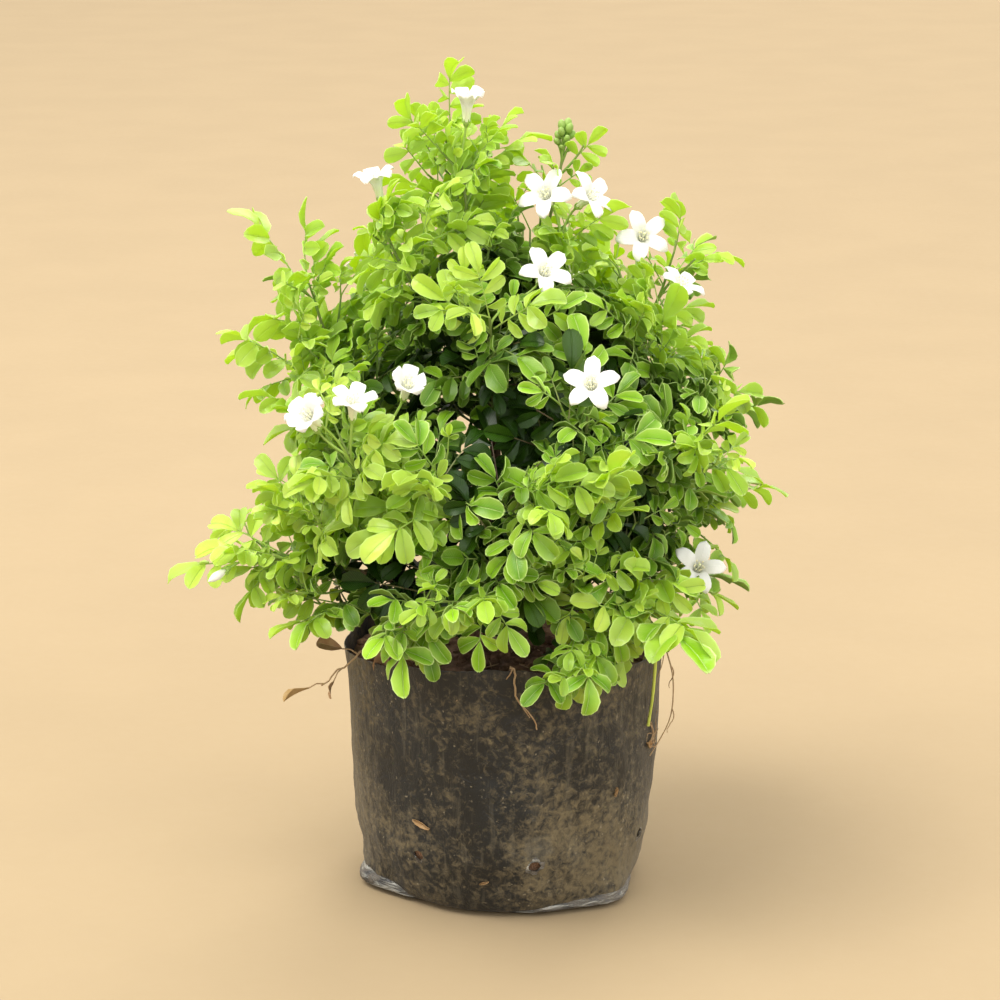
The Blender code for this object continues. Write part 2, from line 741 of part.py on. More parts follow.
def bloom_form():
    """A five-petalled trumpet as an open sheet: a narrow tube that opens into a star."""
    form = bmesh.new()
    notches = [math.radians(72 * i - 36) for i in range(5)]
    foot = [form.verts.new(round_point(angle, BLOOM_FOOT, 0.0)) for angle in notches]
    neck = BLOOM_TUBE * BLOOM_THROAT_SHARE
    throat = [form.verts.new(round_point(angle, BLOOM_THROAT, neck)) for angle in notches]
    form.faces.new(list(reversed(foot)))
    for i in range(5):
        nxt = (i + 1) % 5
        form.faces.new((foot[i], foot[nxt], throat[nxt], throat[i]))
        middle = math.radians(72 * i)
        ahead = round_point(middle, 1.0, 0.0)
        across = Vector((-ahead.y, ahead.x, 0.0)) * PETAL_WIDTH / 2
        waist = ahead * BLOOM_SPREAD * PETAL_WAIST_SHARE + Vector((0.0, 0.0, BLOOM_TUBE))
        left = form.verts.new(waist + across)
        right = form.verts.new(waist - across)
        tip = form.verts.new(round_point(middle, BLOOM_SPREAD, BLOOM_TUBE * PETAL_TIP_SHARE))
        form.faces.new((throat[i], throat[nxt], left, right))
        form.faces.new((right, left, tip))
    bmesh.ops.recalc_face_normals(form, faces=form.faces)
    bmesh.ops.triangulate(form, faces=form.faces)
    return form


def bud_form():
    """A closed flower bud: a long egg with its foot at the origin."""
    form = bmesh.new()
    bmesh.ops.create_icosphere(form, subdivisions=1, radius=0.5)
    for vertex in form.verts:
        spot = vertex.co
        spot.z = (spot.z + 0.5) * BUD_LENGTH
        spot.x *= BUD_WIDTH
        spot.y *= BUD_WIDTH
    return form


def make_flower(name, flower, home, finish):
    """One white flower or bud, seated on its calyx."""
    form = bud_form() if flower.closed else bloom_form()
    axis = facing(flower.face_bearing, flower.face_rise)
    turn = axis.to_track_quat("Z", "Y").to_matrix().to_4x4()
    bmesh.ops.transform(
        form, matrix=Matrix.Translation(flower_base(flower)) @ turn, verts=form.verts
    )
    mesh = bpy.data.meshes.new(name)
    form.to_mesh(mesh)
    form.free()
    obj = new_object(name, mesh, home, finish)
    if not flower.closed:
        petals = obj.modifiers.new("petals", "SOLIDIFY")
        petals.thickness = PETAL_THICKNESS
        petals.offset = 0.0


def green_buds(shoot):
    """The tight head of small green buds at the end of a shoot."""
    line = shoot_curve(shoot)
    tip = bezier(line, 1.0)
    along = bezier_tangent(line, 1.0)
    buds = []
    for i in range(GREEN_BUD_COUNT):
        side = along.orthogonal().normalized()
        side.rotate(Matrix.Rotation(math.radians(GOLDEN_TURN * i), 3, along))
        lean = GREEN_BUD_LEAN[0] + GREEN_BUD_LEAN[1] * i
        axis = (along + side * lean).normalized()
        form = bmesh.new()
        bmesh.ops.create_icosphere(form, subdivisions=1, radius=GREEN_BUD_RADIUS)
        bmesh.ops.scale(form, vec=(1.0, 1.0, GREEN_BUD_STRETCH), verts=form.verts)
        turn = axis.to_track_quat("Z", "Y").to_matrix().to_4x4()
        centre = tip + axis * GREEN_BUD_RADIUS * GREEN_BUD_STAND - along * GREEN_BUD_STEP * i
        bmesh.ops.transform(form, matrix=Matrix.Translation(centre) @ turn, verts=form.verts)
        mesh = bpy.data.meshes.new("green_bud")
        form.to_mesh(mesh)
        form.free()
        buds.append(mesh)
    return buds


def grow_leaves(shoot, chance, taken):
    """Leaf blades up one shoot in a spiral, each turned until it is clear of what is there."""
    line = shoot_curve(shoot)
    turn = chance.uniform(0.0, 360.0)
    grown = []
    first = 0 if shoot.tip_leaf else 1
    for i in range(first, shoot.leaves + LEAF_SPARES):
        if len(grown) == shoot.leaves:
            break
        share = 1.0 - LEAF_STEP * i
        turn += GOLDEN_TURN
        along = bezier_tangent(line, share)
        side = along.orthogonal().normalized()
        side.rotate(Matrix.Rotation(math.radians(turn), 3, along))
        outward = along + side * (TIP_LEAN if i == 0 else SIDE_LEAN)
        start = bezier(line, share) - along * (LEAF_ROOT if i == 0 else 0.0)
        length = LEAF_LENGTH * chance.uniform(*LEAF_SIZES) * shoot.leaf_size
        droop = chance.uniform(*LEAF_DROOPS)
        for roll, rise in LEAF_TRIES:
            aim = outward.normalized() + Vector((0.0, 0.0, rise))
            leaf = Leaf(leaf_place(start, aim, roll), length, droop)
            guard = tree_of(leaf_mesh(leaf, LEAF_CLEARANCE))
            if not any(guard.overlap(other) for other in taken + grown_guards(grown)):
                grown.append((leaf_mesh(leaf, LEAF_THICKNESS), guard))
                break
    return grown


def grown_guards(grown):
    return [guard for _, guard in grown]


def make_shoots(home, green, dry):
    """Stems and flower stalks first, then leaves that keep clear of every other node."""
    fixed = [tree_of(baked_mesh(obj)) for obj in home.objects]
    frames = {name: [stem_mesh(shoot)] for name, shoot in SHOOTS.items()}
    for flower in FLOWERS.values():
        frames[flower.shoot].append(stalk_mesh(flower))
    for name, shoot in SHOOTS.items():
        if shoot.buds:
            frames[name] += green_buds(shoot)
    trees = {name: [tree_of(mesh) for mesh in meshes] for name, meshes in frames.items()}
    guards = []
    for name, shoot in SHOOTS.items():
        others = [tree for other in SHOOTS if other != name for tree in trees[other]]
        grown = grow_leaves(shoot, random.Random(f"{name} {SEED}"), others + fixed + guards)
        guards += grown_guards(grown)
        leaves = [mesh for mesh, _ in grown]
        finish = dry if shoot.dry else green
        fuse(name, frames[name][0], frames[name][1:] + leaves, home, finish)


def main():
    clear_scene()
    home = collection("potted_orange_jasmine")
    film = material("black film", BLACK_FILM, 0.45)
    earth = material("soil", SOIL_BROWN, 0.95)
    bark = material("bark", BARK, 0.85)
    dry = material("dry leaf and root", DRY, 0.85)
    green = material("leaf green", GREEN, 0.5)
    pale = material("pale green", PALE_GREEN, 0.5)
    white = material("petal white", WHITE, 0.6)
    make_bag(home, film)
    make_soil(home, earth)
    make_wood(home, bark)
    make_strands(home, dry, pale)
    for name, flower in FLOWERS.items():
        make_flower(name, flower, home, white)
    make_shoots(home, green, dry)


main()
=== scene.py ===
"""The looks of a potted orange jasmine, built round its packed solids.

Metres, +Z up, -Y to the front. A bearing is counted in degrees from the front towards +X.
"""

import json
import math
import random
from typing import NamedTuple

import bmesh
import bpy
import numpy as np
from bpy.props import FloatProperty, FloatVectorProperty, PointerProperty
from mathutils import Matrix, Vector, noise

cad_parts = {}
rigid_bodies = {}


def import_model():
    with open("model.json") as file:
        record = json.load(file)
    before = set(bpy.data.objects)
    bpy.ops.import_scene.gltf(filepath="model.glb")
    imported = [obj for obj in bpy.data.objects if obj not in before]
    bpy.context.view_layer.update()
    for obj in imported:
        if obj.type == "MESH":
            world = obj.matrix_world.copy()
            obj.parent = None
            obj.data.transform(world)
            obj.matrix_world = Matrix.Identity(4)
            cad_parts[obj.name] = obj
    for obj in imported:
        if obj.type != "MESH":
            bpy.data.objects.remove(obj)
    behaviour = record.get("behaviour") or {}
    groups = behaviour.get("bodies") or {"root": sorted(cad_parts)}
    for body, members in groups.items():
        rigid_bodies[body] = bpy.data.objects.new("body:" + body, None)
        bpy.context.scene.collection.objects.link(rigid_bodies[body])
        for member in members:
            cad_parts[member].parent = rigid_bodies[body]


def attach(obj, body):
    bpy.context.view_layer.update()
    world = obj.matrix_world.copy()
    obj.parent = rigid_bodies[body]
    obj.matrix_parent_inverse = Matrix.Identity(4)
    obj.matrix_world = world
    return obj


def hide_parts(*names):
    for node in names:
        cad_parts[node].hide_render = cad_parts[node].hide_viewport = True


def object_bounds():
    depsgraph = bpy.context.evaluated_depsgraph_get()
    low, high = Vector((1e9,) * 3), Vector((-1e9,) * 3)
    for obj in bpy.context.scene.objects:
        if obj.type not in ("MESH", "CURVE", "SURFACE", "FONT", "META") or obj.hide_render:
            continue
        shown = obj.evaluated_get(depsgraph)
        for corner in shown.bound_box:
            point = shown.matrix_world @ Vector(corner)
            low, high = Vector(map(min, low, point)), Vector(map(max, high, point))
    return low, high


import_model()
CAD_BOX = [list(corner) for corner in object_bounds()]

bl_info = {
    "name": "Potted orange jasmine",
    "version": (1, 0, 0),
    "blender": (4, 5, 0),
    "location": "View3D > Sidebar > Jasmine",
    "description": "Dresses the solids of an orange jasmine in a film nursery bag",
    "category": "Add Mesh",
}

BODY = "root"
UP = Vector((0.0, 0.0, 1.0))
GOLDEN_TURN = 137.5
SEAT_GAP = 0.0003
SHARP_ANGLE = 50.0
BAG_SHARP_ANGLE = 60.0

# Bag
BAG_HEIGHT = 0.1065
BAG_RIM_RISE = 0.0045
BAG_RIM_RADIUS = 0.0665
BAG_WAIST_HEIGHT = 0.026
BAG_FOOT_RADIUS = 0.050
BAG_SOLID_FILM = 0.0009
BAG_EAR = 0.006
BAG_EAR_BEARINGS = (-72.0, 48.0)
BAG_EAR_SPREAD = 13.0
BAG_EAR_HEIGHT = 0.011
BAG_DENT = 0.0009
BAG_COLUMNS = 200
BAG_ROWS = 64
BAG_REACHES = (0.0, BAG_FOOT_RADIUS, 0.0550, 0.0585, 0.0625, 0.0647, 0.0655, BAG_RIM_RADIUS)
BAG_LEVELS = (0.0, 0.0, 0.0022, 0.009, BAG_WAIST_HEIGHT, 0.0575, 0.0895, BAG_HEIGHT)
FLAP_STEPS = 40
FLAP_ROWS = 8
DRAIN_HEIGHT = 0.0255
DRAIN_BEARINGS = (-35.0, 11.0, 65.0, 125.0, 185.0, 245.0)
STAIN_HEIGHT = 0.033
LIP_SIDES = 18
FIBRE_COUNT = 7
FIBRE_POINTS = 14
FIBRE_STEP = 0.0011

# Soil
SOIL_HEIGHT = 0.0955
SOIL_MOUND = 0.0030
SOIL_RADIUS = 0.0642
SOIL_COLUMNS = 144
SOIL_RINGS = 34
SOIL_LEVELS = (0.0895, 0.0575, BAG_WAIST_HEIGHT, 0.009, 0.0013)
CLOD_COUNT = 520
STRAW_COUNT = 60

# Wood
TRUNK_RADIUS = 0.0050
TRUNK_BEND_HEIGHT = 0.104
TRUNK_LEAN = (-0.10, 0.12)
TRUNK_FLOOR = 0.060
TRUNK_TOP = 0.124
TRUNK_POINTS = 18
TRUNK_TAPER = ((0.100, 0.112, TRUNK_TOP), (1.0, 0.88, 0.66))
LIMB_RADII = (0.0030, 0.0014)
LIMB_POINTS = 22
LIMB_LIFT = 0.35
LIMB_OUTWARD = 0.3
SHOOT_PULL = 0.34
SPUR_SHARE = 0.26
SPUR_LENGTH = 0.008
SPUR_RADII = (0.0015, 0.0010)

# Leafy shoots
SEED = 44
STEM_RADII = (0.00098, 0.00055)
SPRIG_RADII = (0.00065, 0.00045)
TWIG_RADII = (0.00065, 0.0004)
TWIG_REACHES = (0.014, 0.032)
TWIG_EDGE = 0.97
STEM_LEAVES = (0.029, 0.041)
TWIG_LEAVES = (0.023, 0.036)
SPRIG_SPACING = 0.0062
LEAF_LENGTH = 0.050
LEAF_SIZES = (0.86, 1.10)
LEAF_DROOPS = (0.10, 0.34)
LEAF_STEP = 0.19
SOLID_LEAF_SHARE = 0.76
TIP_LEAN = 0.15
SIDE_LEAN = 1.3
LIGHT_LEAN = 1.0
NEAR_PARALLEL = 20.0
RACHIS_RADII = (0.00042, 0.00024)
RACHIS_END = 0.58
SHORT_LEAF = 0.028
TINY_LEAF = 0.018

# Share along the leaf, side, angle to the rachis, and length as a share of the leaf's
LEAFLETS = (
    (0.14, 1, 80.0, 0.27),
    (0.23, -1, 78.0, 0.29),
    (0.33, 1, 74.0, 0.33),
    (0.40, -1, 72.0, 0.34),
    (0.50, 1, 64.0, 0.36),
    (0.54, -1, 60.0, 0.36),
    (RACHIS_END, 0, 0.0, 0.42),
)

# Shares along a leaflet, and its half widths there as shares of half its breadth
LEAFLET_ROWS = (0.0, 0.14, 0.34, 0.57, 0.78, 0.92, 1.0)
LEAFLET_WIDTHS = (0.06, 0.40, 0.78, 1.0, 0.94, 0.62, 0.14)
INNER_ROWS = (0.0, 0.34, 0.66, 0.90, 1.0)
LEAFLET_NOTCH = 0.008

# The crown's outline: height, how far it goes to the left and right, and half its depth
CROWN = (
    (0.100, -0.066, 0.082, 0.092),
    (0.120, -0.088, 0.098, 0.104),
    (0.142, -0.130, 0.103, 0.112),
    (0.163, -0.116, 0.105, 0.112),
    (0.185, -0.098, 0.113, 0.108),
    (0.206, -0.092, 0.116, 0.104),
    (0.227, -0.096, 0.100, 0.096),
    (0.248, -0.086, 0.082, 0.086),
    (0.269, -0.080, 0.070, 0.074),
    (0.289, -0.062, 0.052, 0.060),
    (0.310, -0.048, 0.036, 0.046),
    (0.330, -0.042, 0.000, 0.034),
    (0.350, -0.030, -0.014, 0.022),
)
CROWN_BACK = 1.12

# How far past the solids' box a leaf may reach, and what it stays clear of at the rim
BOX_EDGE = 0.006
RIM_CLEAR = (BAG_RIM_RADIUS + 0.006, BAG_HEIGHT + 0.010)

# Between which depths in the crown leaves go from full painted shade to none, and where their fine
# form ends
LIGHT_DEPTHS = (0.46, 0.90)
FINE_DEPTH = 0.62

# How far out of the crown the solid's, the placed and the filling leaves may go
SOLID_LIMIT, PLACED_LIMIT, FILLING_LIMIT = 1.25, 3.0, 1.0

# Hollows between the shoots, left open and given painted shade: bearing, reach, height and radius
HOLLOWS = (
    (0, 0.074, 0.213, 0.019),
    (-17, 0.076, 0.222, 0.013),
    (-2, 0.084, 0.180, 0.011),
    (46, 0.082, 0.172, 0.016),
    (-62, 0.090, 0.200, 0.011),
    (18, 0.060, 0.240, 0.010),
    (70, 0.084, 0.156, 0.012),
)
HOLLOW_EDGE = 2.2
HOLLOW_SHADE = 0.45

# The airy top: the heights between which it starts, its gaps, and how far it lifts the painted
# shade off its leaves
TOP_HEIGHTS = (0.235, 0.295)
TOP_GAPS = 0.55
TOP_LIGHT = 0.60

# Flowers
BLOOM_TUBE = 0.0100
BLOOM_FOOT_GAP = 0.00065
STALK_SHARE = 0.93
STALK_STEP = 0.05
STALK_RADII = (0.0005, 0.0005)
GREEN_BUD_COUNT = 14
BUD_LENGTH = 0.0085
BUD_HEAD_RISE = 0.0045
BUD_WIDTH = 0.0036
BUD_RINGS = 14
BUD_SIDES = 20
FLOWER_CLEAR = 0.0105
FLOWER_VIEW = 0.045
HALF_HIDDEN = ("bloom_middle", "bloom_left_small")
PETAL_ROWS = (0.0, 0.12, 0.26, 0.40, 0.52, 0.62, 0.72, 0.82, 0.90, 0.96, 1.0)
PETAL_SHARES = (0.0, 0.15, 0.35, 0.50, 0.62, 0.78, 0.90, 1.0)
PETAL_REACHES = (0.0011, 0.0013, 0.0018, 0.0027, 0.0044, 0.0076, 0.0098, 0.0114)
PETAL_HEIGHTS = (0.0, 0.0026, 0.0060, 0.0083, 0.0098, 0.0107, 0.0104, 0.0094)
PETAL_HALF_WIDTHS = (0.0010, 0.0013, 0.0021, 0.0027, 0.0031, 0.0032, 0.0023, 0.0004)
PETAL_FREE = 0.42
PETAL_COUNT = 5
STAMEN_COUNT = 10
STAMEN_TURN = 98
PETAL_CLOSED_REACH = 0.0046

# Dead twig, roots and stalk
DRY_POINTS = 20
DRY_RADII = (0.00075, 0.00035)
STRAND_POINTS = 34
STRAND_FREE = 12
FORK_POINTS = 9

# Slots of a shoot's materials after its stem, and the age, painted shade included, that sends a
# leaf to the shaded finish
BLADE, OLD_AND_SHADED_BLADE = 1, 2
OLD_AND_SHADED_AGE = 0.45

# Stage: name, place, aim, size, share of the key light's power and colour of each light
LIGHTS = (
    ("key_light", (-1.5, -0.7, 3.5), (0.0, 0.0, 0.15), 2.4, 4.3, (1.0, 0.97, 0.92)),
    ("fill_light", (2.2, -2.6, 1.8), (0.0, 0.0, 0.15), 2.8, 1.15, (0.94, 0.97, 1.0)),
    ("back_light", (1.5, 5.4, 4.6), (0.0, 0.0, 0.20), 3.6, 6.4, (1.0, 0.97, 0.90)),
)
SKY_COLOUR = (1.0, 0.97, 0.93, 1.0)
FLOOR_SIZE = 80.0
FLOOR_DROP = 0.0004
CAMERA_PLACE = (-0.002, -1.138, 0.479)
CAMERA_TILT = 74.5
CAMERA_SENSOR = 36.0
CAMERA_CLIP = (0.05, 200.0)


def at(bearing, reach, height):
    """The point at this bearing (degrees from the front towards +X), reach and height."""
    turn = math.radians(bearing)
    return Vector((reach * math.sin(turn), -reach * math.cos(turn), height))


def facing(bearing, rise):
    """The unit vector with this bearing and this angle above the horizon, in degrees."""
    lift = math.radians(rise)
    return at(bearing, math.cos(lift), math.sin(lift))


class Limb(NamedTuple):
    """A woody limb: the height where it leaves the trunk, and where it ends."""

    height: float
    bearing: float
    reach: float
    top: float


class Shoot(NamedTuple):
    """A shoot: where its stem ends and how it rises there, its limb, its leaves and their age."""

    bearing: float
    reach: float
    top: float
    limb: str
    share: float
    rise: float
    leaves: int
    age: float
    tip_leaf: bool = True
    size: float = 1.0


class Flower(NamedTuple):
    """A flower or closed bud: its shoot, the middle of its face, where it faces, how open."""

    shoot: str
    bearing: float
    reach: float
    top: float
    face_bearing: float
    face_rise: float
    open: float = 1.0

    @property
    def centre(self):
        return at(self.bearing, self.reach, self.top)

    @property
    def axis(self):
        return facing(self.face_bearing, self.face_rise)

    @property
    def base(self):
        """Where the flower starts, just above its calyx."""
        return self.centre - self.axis * (BUD_LENGTH if self.open == 0.0 else BLOOM_TUBE)

    @property
    def turn(self):
        """The rotation that stands +Z along the flower's axis."""
        return upright(self.axis)


class Sprig(NamedTuple):
    """A side twig: where it leaves its shoot, where the tip of its last leaf is, and its age."""

    share: float
    bearing: float
    reach: float
    top: float
    leaf: float
    age: float


class Strand(NamedTuple):
    """A root or stalk over the rim: where, how far it drops, drifts and swings out, its forks.

    A fork is the point that it leaves from, to which side, and how long it is.
    """

    bearing: float
    drop: float
    drift: float
    swing: float
    radius: float
    forks: tuple = ()


class Leaf(NamedTuple):
    """A compound leaf: its place as a matrix, its length, how far it droops, and its age."""

    place: Matrix
    length: float
    droop: float
    age: float

    def spot(self, share):
        """The point at this share of its drooping midline, in its own place."""
        return Vector((self.length * share, 0.0, -self.droop * self.length * share**2))


LIMBS = {
    "leader": Limb(0.118, -140, 0.012, 0.232),
    "left": Limb(0.114, -88, 0.050, 0.192),
    "left_low": Limb(0.109, -62, 0.056, 0.138),
    "front": Limb(0.112, -8, 0.052, 0.168),
    "right_front": Limb(0.110, 48, 0.052, 0.144),
    "right": Limb(0.116, 100, 0.058, 0.184),
    "back_right": Limb(0.111, 150, 0.052, 0.158),
    "back_left": Limb(0.115, -144, 0.056, 0.176),
}

SHOOTS = {
    "crown_top": Shoot(-142, 0.034, 0.296, "leader", 0.97, 80, 3, 0.04),
    "crown_bloom": Shoot(-95, 0.018, 0.308, "leader", 0.86, 85, 2, 0.06, tip_leaf=False),
    "crown_left_bloom": Shoot(-78, 0.050, 0.282, "leader", 0.66, 75, 2, 0.06, tip_leaf=False),
    "crown_right_bud": Shoot(130, 0.031, 0.306, "leader", 0.60, 82, 2, 0.22, tip_leaf=False),
    "crown_right_blooms": Shoot(90, 0.022, 0.266, "leader", 0.79, 70, 3, 0.14, tip_leaf=False),
    "crown_middle": Shoot(-8, 0.044, 0.250, "leader", 0.46, 62, 3, 0.14),
    "crown_back": Shoot(172, 0.056, 0.268, "leader", 0.72, 70, 2, 0.20),
    "left_upright": Shoot(-90, 0.077, 0.246, "left", 0.98, 78, 3, 0.14),
    "left_reach": Shoot(-97, 0.080, 0.214, "left", 0.84, 38, 2, 0.20),
    "left_middle": Shoot(-76, 0.070, 0.196, "left", 0.62, 32, 2, 0.26),
    "left_front_blooms": Shoot(-44, 0.088, 0.200, "left", 0.50, 68, 2, 0.06, tip_leaf=False),
    "left_far": Shoot(-73, 0.094, 0.146, "left_low", 0.98, 12, 3, 0.02),
    "left_far_upper": Shoot(-66, 0.088, 0.168, "left_low", 0.80, 36, 2, 0.04),
    "left_low_pair": Shoot(-64, 0.074, 0.128, "left_low", 0.62, -8, 1, 0.36),
    "front_left_bright": Shoot(-22, 0.078, 0.184, "front", 0.86, 50, 3, 0.12),
    "front_middle": Shoot(4, 0.076, 0.184, "front", 0.97, 56, 3, 0.08),
    "front_low": Shoot(-6, 0.078, 0.146, "front", 0.70, 8, 2, 0.42),
    "front_left_droop": Shoot(-31, 0.074, 0.134, "front", 0.52, -22, 2, 0.56),
    "front_right_bright": Shoot(24, 0.078, 0.178, "right_front", 0.70, 55, 3, 0.04),
    "front_star": Shoot(32, 0.062, 0.212, "right_front", 0.54, 76, 2, 0.20, tip_leaf=False),
    "front_right_droop": Shoot(22, 0.076, 0.126, "front", 0.36, -28, 2, 0.54),
    "right_lip": Shoot(46, 0.072, 0.134, "right_front", 0.99, 5, 2, 0.14, size=1.3),
    "right_front_star": Shoot(74, 0.078, 0.136, "right_front", 0.84, 24, 2, 0.26, tip_leaf=False),
    "right_front_upper": Shoot(66, 0.078, 0.190, "right", 0.48, 52, 3, 0.20),
    "right_star": Shoot(94, 0.054, 0.250, "right", 0.98, 78, 3, 0.14, tip_leaf=False),
    "right_twig": Shoot(117, 0.074, 0.244, "right", 0.84, 52, 3, 0.20),
    "right_spread": Shoot(107, 0.078, 0.190, "right", 0.72, 30, 2, 0.46),
    "right_far": Shoot(103, 0.074, 0.158, "right", 0.62, 6, 2, 0.48),
    "right_low": Shoot(88, 0.064, 0.134, "right", 0.30, 0, 1, 0.52),
    "back_right_upper": Shoot(146, 0.076, 0.226, "back_right", 0.97, 60, 2, 0.26),
    "back_right_low": Shoot(142, 0.088, 0.158, "back_right", 0.78, 12, 2, 0.42),
    "back_middle": Shoot(176, 0.086, 0.198, "back_right", 0.88, 42, 2, 0.30),
    "back_low": Shoot(170, 0.088, 0.142, "back_right", 0.58, 0, 2, 0.42),
    "back_left_upper": Shoot(-136, 0.076, 0.232, "back_left", 0.97, 62, 2, 0.22),
    "back_left_middle": Shoot(-128, 0.088, 0.186, "back_left", 0.80, 30, 2, 0.30),
    "back_left_low": Shoot(-124, 0.088, 0.148, "back_left", 0.56, 4, 2, 0.40),
}
DRY_TWIG = Shoot(-55, 0.090, 0.100, "left_low", 0.40, -30, 2, 0.5, size=0.5)
BUD_SHOOT = "crown_right_bud"

FLOWERS = {
    "bloom_top": Flower("crown_bloom", -88, 0.015, 0.331, 20, 80, 0.30),
    "bloom_top_left": Flower("crown_left_bloom", -80, 0.053, 0.301, -60, 76, 0.60),
    "bloom_crown_a": Flower("crown_right_blooms", 60, 0.018, 0.294, -20, 34, 1.0),
    "bloom_crown_b": Flower("crown_right_blooms", 90, 0.036, 0.292, 48, 36, 1.0),
    "bloom_right_star": Flower("right_star", 96, 0.057, 0.274, 8, 30, 1.1),
    "bloom_right_recurved": Flower("right_twig", 98, 0.074, 0.254, 60, 58, 0.85),
    "bloom_middle": Flower("crown_middle", 24, 0.040, 0.268, 20, 40, 0.95),
    "bloom_front_star": Flower("front_star", 25, 0.078, 0.230, -10, 36, 1.1),
    "bloom_right_front": Flower("right_front_star", 71, 0.084, 0.143, 6, 34, 1.1),
    "bloom_left_a": Flower("left_front_blooms", -50, 0.102, 0.218, -60, 58, 0.6),
    "bloom_left_b": Flower("left_front_blooms", -38, 0.095, 0.225, 10, 66, 0.7),
    "bloom_left_c": Flower("left_front_blooms", -42, 0.114, 0.221, -35, 34, 0.5),
    "bloom_left_small": Flower("left_front_blooms", -30, 0.075, 0.229, 20, 50, 0.35),
    "bloom_back_right": Flower("back_right_upper", 158, 0.088, 0.248, 165, 44, 1.0),
    "bloom_back_left": Flower("back_left_upper", -140, 0.092, 0.252, -150, 44, 1.0),
}
WHITE_BUD = Flower("left_far", -69, 0.128, 0.142, -60, -25, 0.0)

# Side twigs by the shoot that bears them; those of age 1.0 put dark leaves deep in the crown as
# painted shade
SPRIGS = {
    "left_upright": (
        (0.96, -90, 0.108, 0.292, 0.044, 0.30),
        (0.98, -90, 0.090, 0.288, 0.034, 0.30),
    ),
    "left_reach": ((0.90, -85, 0.118, 0.240, 0.040, 0.26),),
    "left_middle": (
        (0.95, -80, 0.109, 0.218, 0.034, 0.30),
        (0.40, -66, 0.044, 0.214, 0.040, 1.0),
    ),
    "left_far_upper": (
        (0.95, -74, 0.108, 0.189, 0.034, 0.06),
        (0.90, -62, 0.112, 0.186, 0.036, 0.03),
    ),
    "left_far": (
        (0.97, -77, 0.143, 0.141, 0.038, 0.12),
        (0.85, -81, 0.125, 0.160, 0.034, 0.10),
    ),
    "left_low_pair": (
        (0.95, -59, 0.098, 0.121, 0.034, 0.50),
        (0.90, -48, 0.092, 0.131, 0.032, 0.52),
    ),
    "front_left_droop": (
        (0.98, -26, 0.095, 0.115, 0.038, 0.54),
        (0.90, -18, 0.090, 0.124, 0.032, 0.60),
    ),
    "front_low": (
        (0.98, -7, 0.088, 0.118, 0.031, 0.50),
        (0.95, 3, 0.092, 0.128, 0.030, 0.40),
    ),
    "front_right_droop": (
        (0.98, 16, 0.089, 0.101, 0.026, 0.60),
        (0.90, 26, 0.089, 0.115, 0.030, 0.46),
    ),
    "right_lip": (
        (0.96, 43, 0.092, 0.119, 0.058, 0.54),
        (0.92, 33, 0.093, 0.128, 0.042, 0.08),
    ),
    "right_far": (
        (0.90, 79, 0.101, 0.135, 0.032, 0.34),
        (0.98, 90, 0.119, 0.168, 0.032, 0.50),
    ),
    "right_spread": (
        (0.90, 90, 0.101, 0.229, 0.032, 0.46),
        (0.98, 90, 0.117, 0.206, 0.032, 0.50),
    ),
    "right_twig": (
        (0.92, 90, 0.077, 0.292, 0.032, 0.30),
        (0.98, 90, 0.098, 0.288, 0.038, 0.34),
    ),
    "crown_top": (
        (0.98, -129, 0.032, 0.350, 0.034, 0.16),
        (0.95, -95, 0.030, 0.340, 0.030, 0.14),
        (0.80, -86, 0.048, 0.318, 0.030, 0.24),
        (0.90, -108, 0.049, 0.330, 0.032, 0.20),
    ),
    "crown_bloom": (
        (0.75, -150, 0.020, 0.322, 0.028, 0.22),
        (0.90, 20, 0.006, 0.324, 0.026, 0.30),
    ),
    "crown_right_bud": (
        (0.92, 110, 0.046, 0.316, 0.026, 0.30),
        (0.86, 60, 0.022, 0.310, 0.026, 0.34),
    ),
    "crown_left_bloom": (
        (0.85, -70, 0.064, 0.292, 0.030, 0.16),
        (0.70, -50, 0.060, 0.270, 0.030, 0.12),
    ),
    "left_front_blooms": (
        (0.80, -34, 0.104, 0.196, 0.036, 0.02),
        (0.74, -48, 0.114, 0.192, 0.034, 0.04),
        (0.90, -26, 0.098, 0.212, 0.034, 0.10),
    ),
    "right_front_star": (
        (0.80, 62, 0.096, 0.150, 0.030, 0.16),
        (0.90, 80, 0.098, 0.122, 0.030, 0.30),
    ),
    "front_star": ((0.80, 30, 0.070, 0.255, 0.042, 0.16),),
    "front_left_bright": (
        (0.50, -30, 0.050, 0.206, 0.040, 1.0),
        (0.60, -52, 0.050, 0.190, 0.040, 1.0),
    ),
    "front_middle": (
        (0.50, -12, 0.044, 0.216, 0.040, 1.0),
        (0.60, 12, 0.046, 0.194, 0.040, 1.0),
        (0.98, 12, 0.092, 0.190, 0.034, 0.06),
    ),
    "crown_middle": (
        (0.40, -30, 0.036, 0.230, 0.040, 1.0),
        (0.50, 24, 0.040, 0.212, 0.040, 1.0),
        (0.92, 20, 0.060, 0.262, 0.034, 0.12),
        (0.80, 34, 0.058, 0.258, 0.032, 0.22),
    ),
    "front_right_bright": (
        (0.50, 40, 0.050, 0.186, 0.040, 1.0),
        (0.98, 26, 0.094, 0.198, 0.036, 0.06),
    ),
}

STRANDS = {
    "hanging_root_front": Strand(2, 0.025, 8, 0.003, 0.0006, ((13, -1, 0.007), (26, 1, 0.005))),
    "hanging_stalk_right": Strand(68, 0.030, -2, 0.001, 0.0008),
    "hanging_root_right": Strand(
        84, 0.044, -14, 0.007, 0.0005, ((14, -1, 0.016), (20, 1, 0.013), (26, -1, 0.009))
    ),
}


def upright(axis):
    """The rotation that stands +Z along an axis."""
    return axis.to_track_quat("Z", "Y").to_matrix()


def outward(spot):
    """The level unit vector from the middle of the bag towards a spot."""
    return Vector((spot.x, spot.y, 0.0)).normalized()


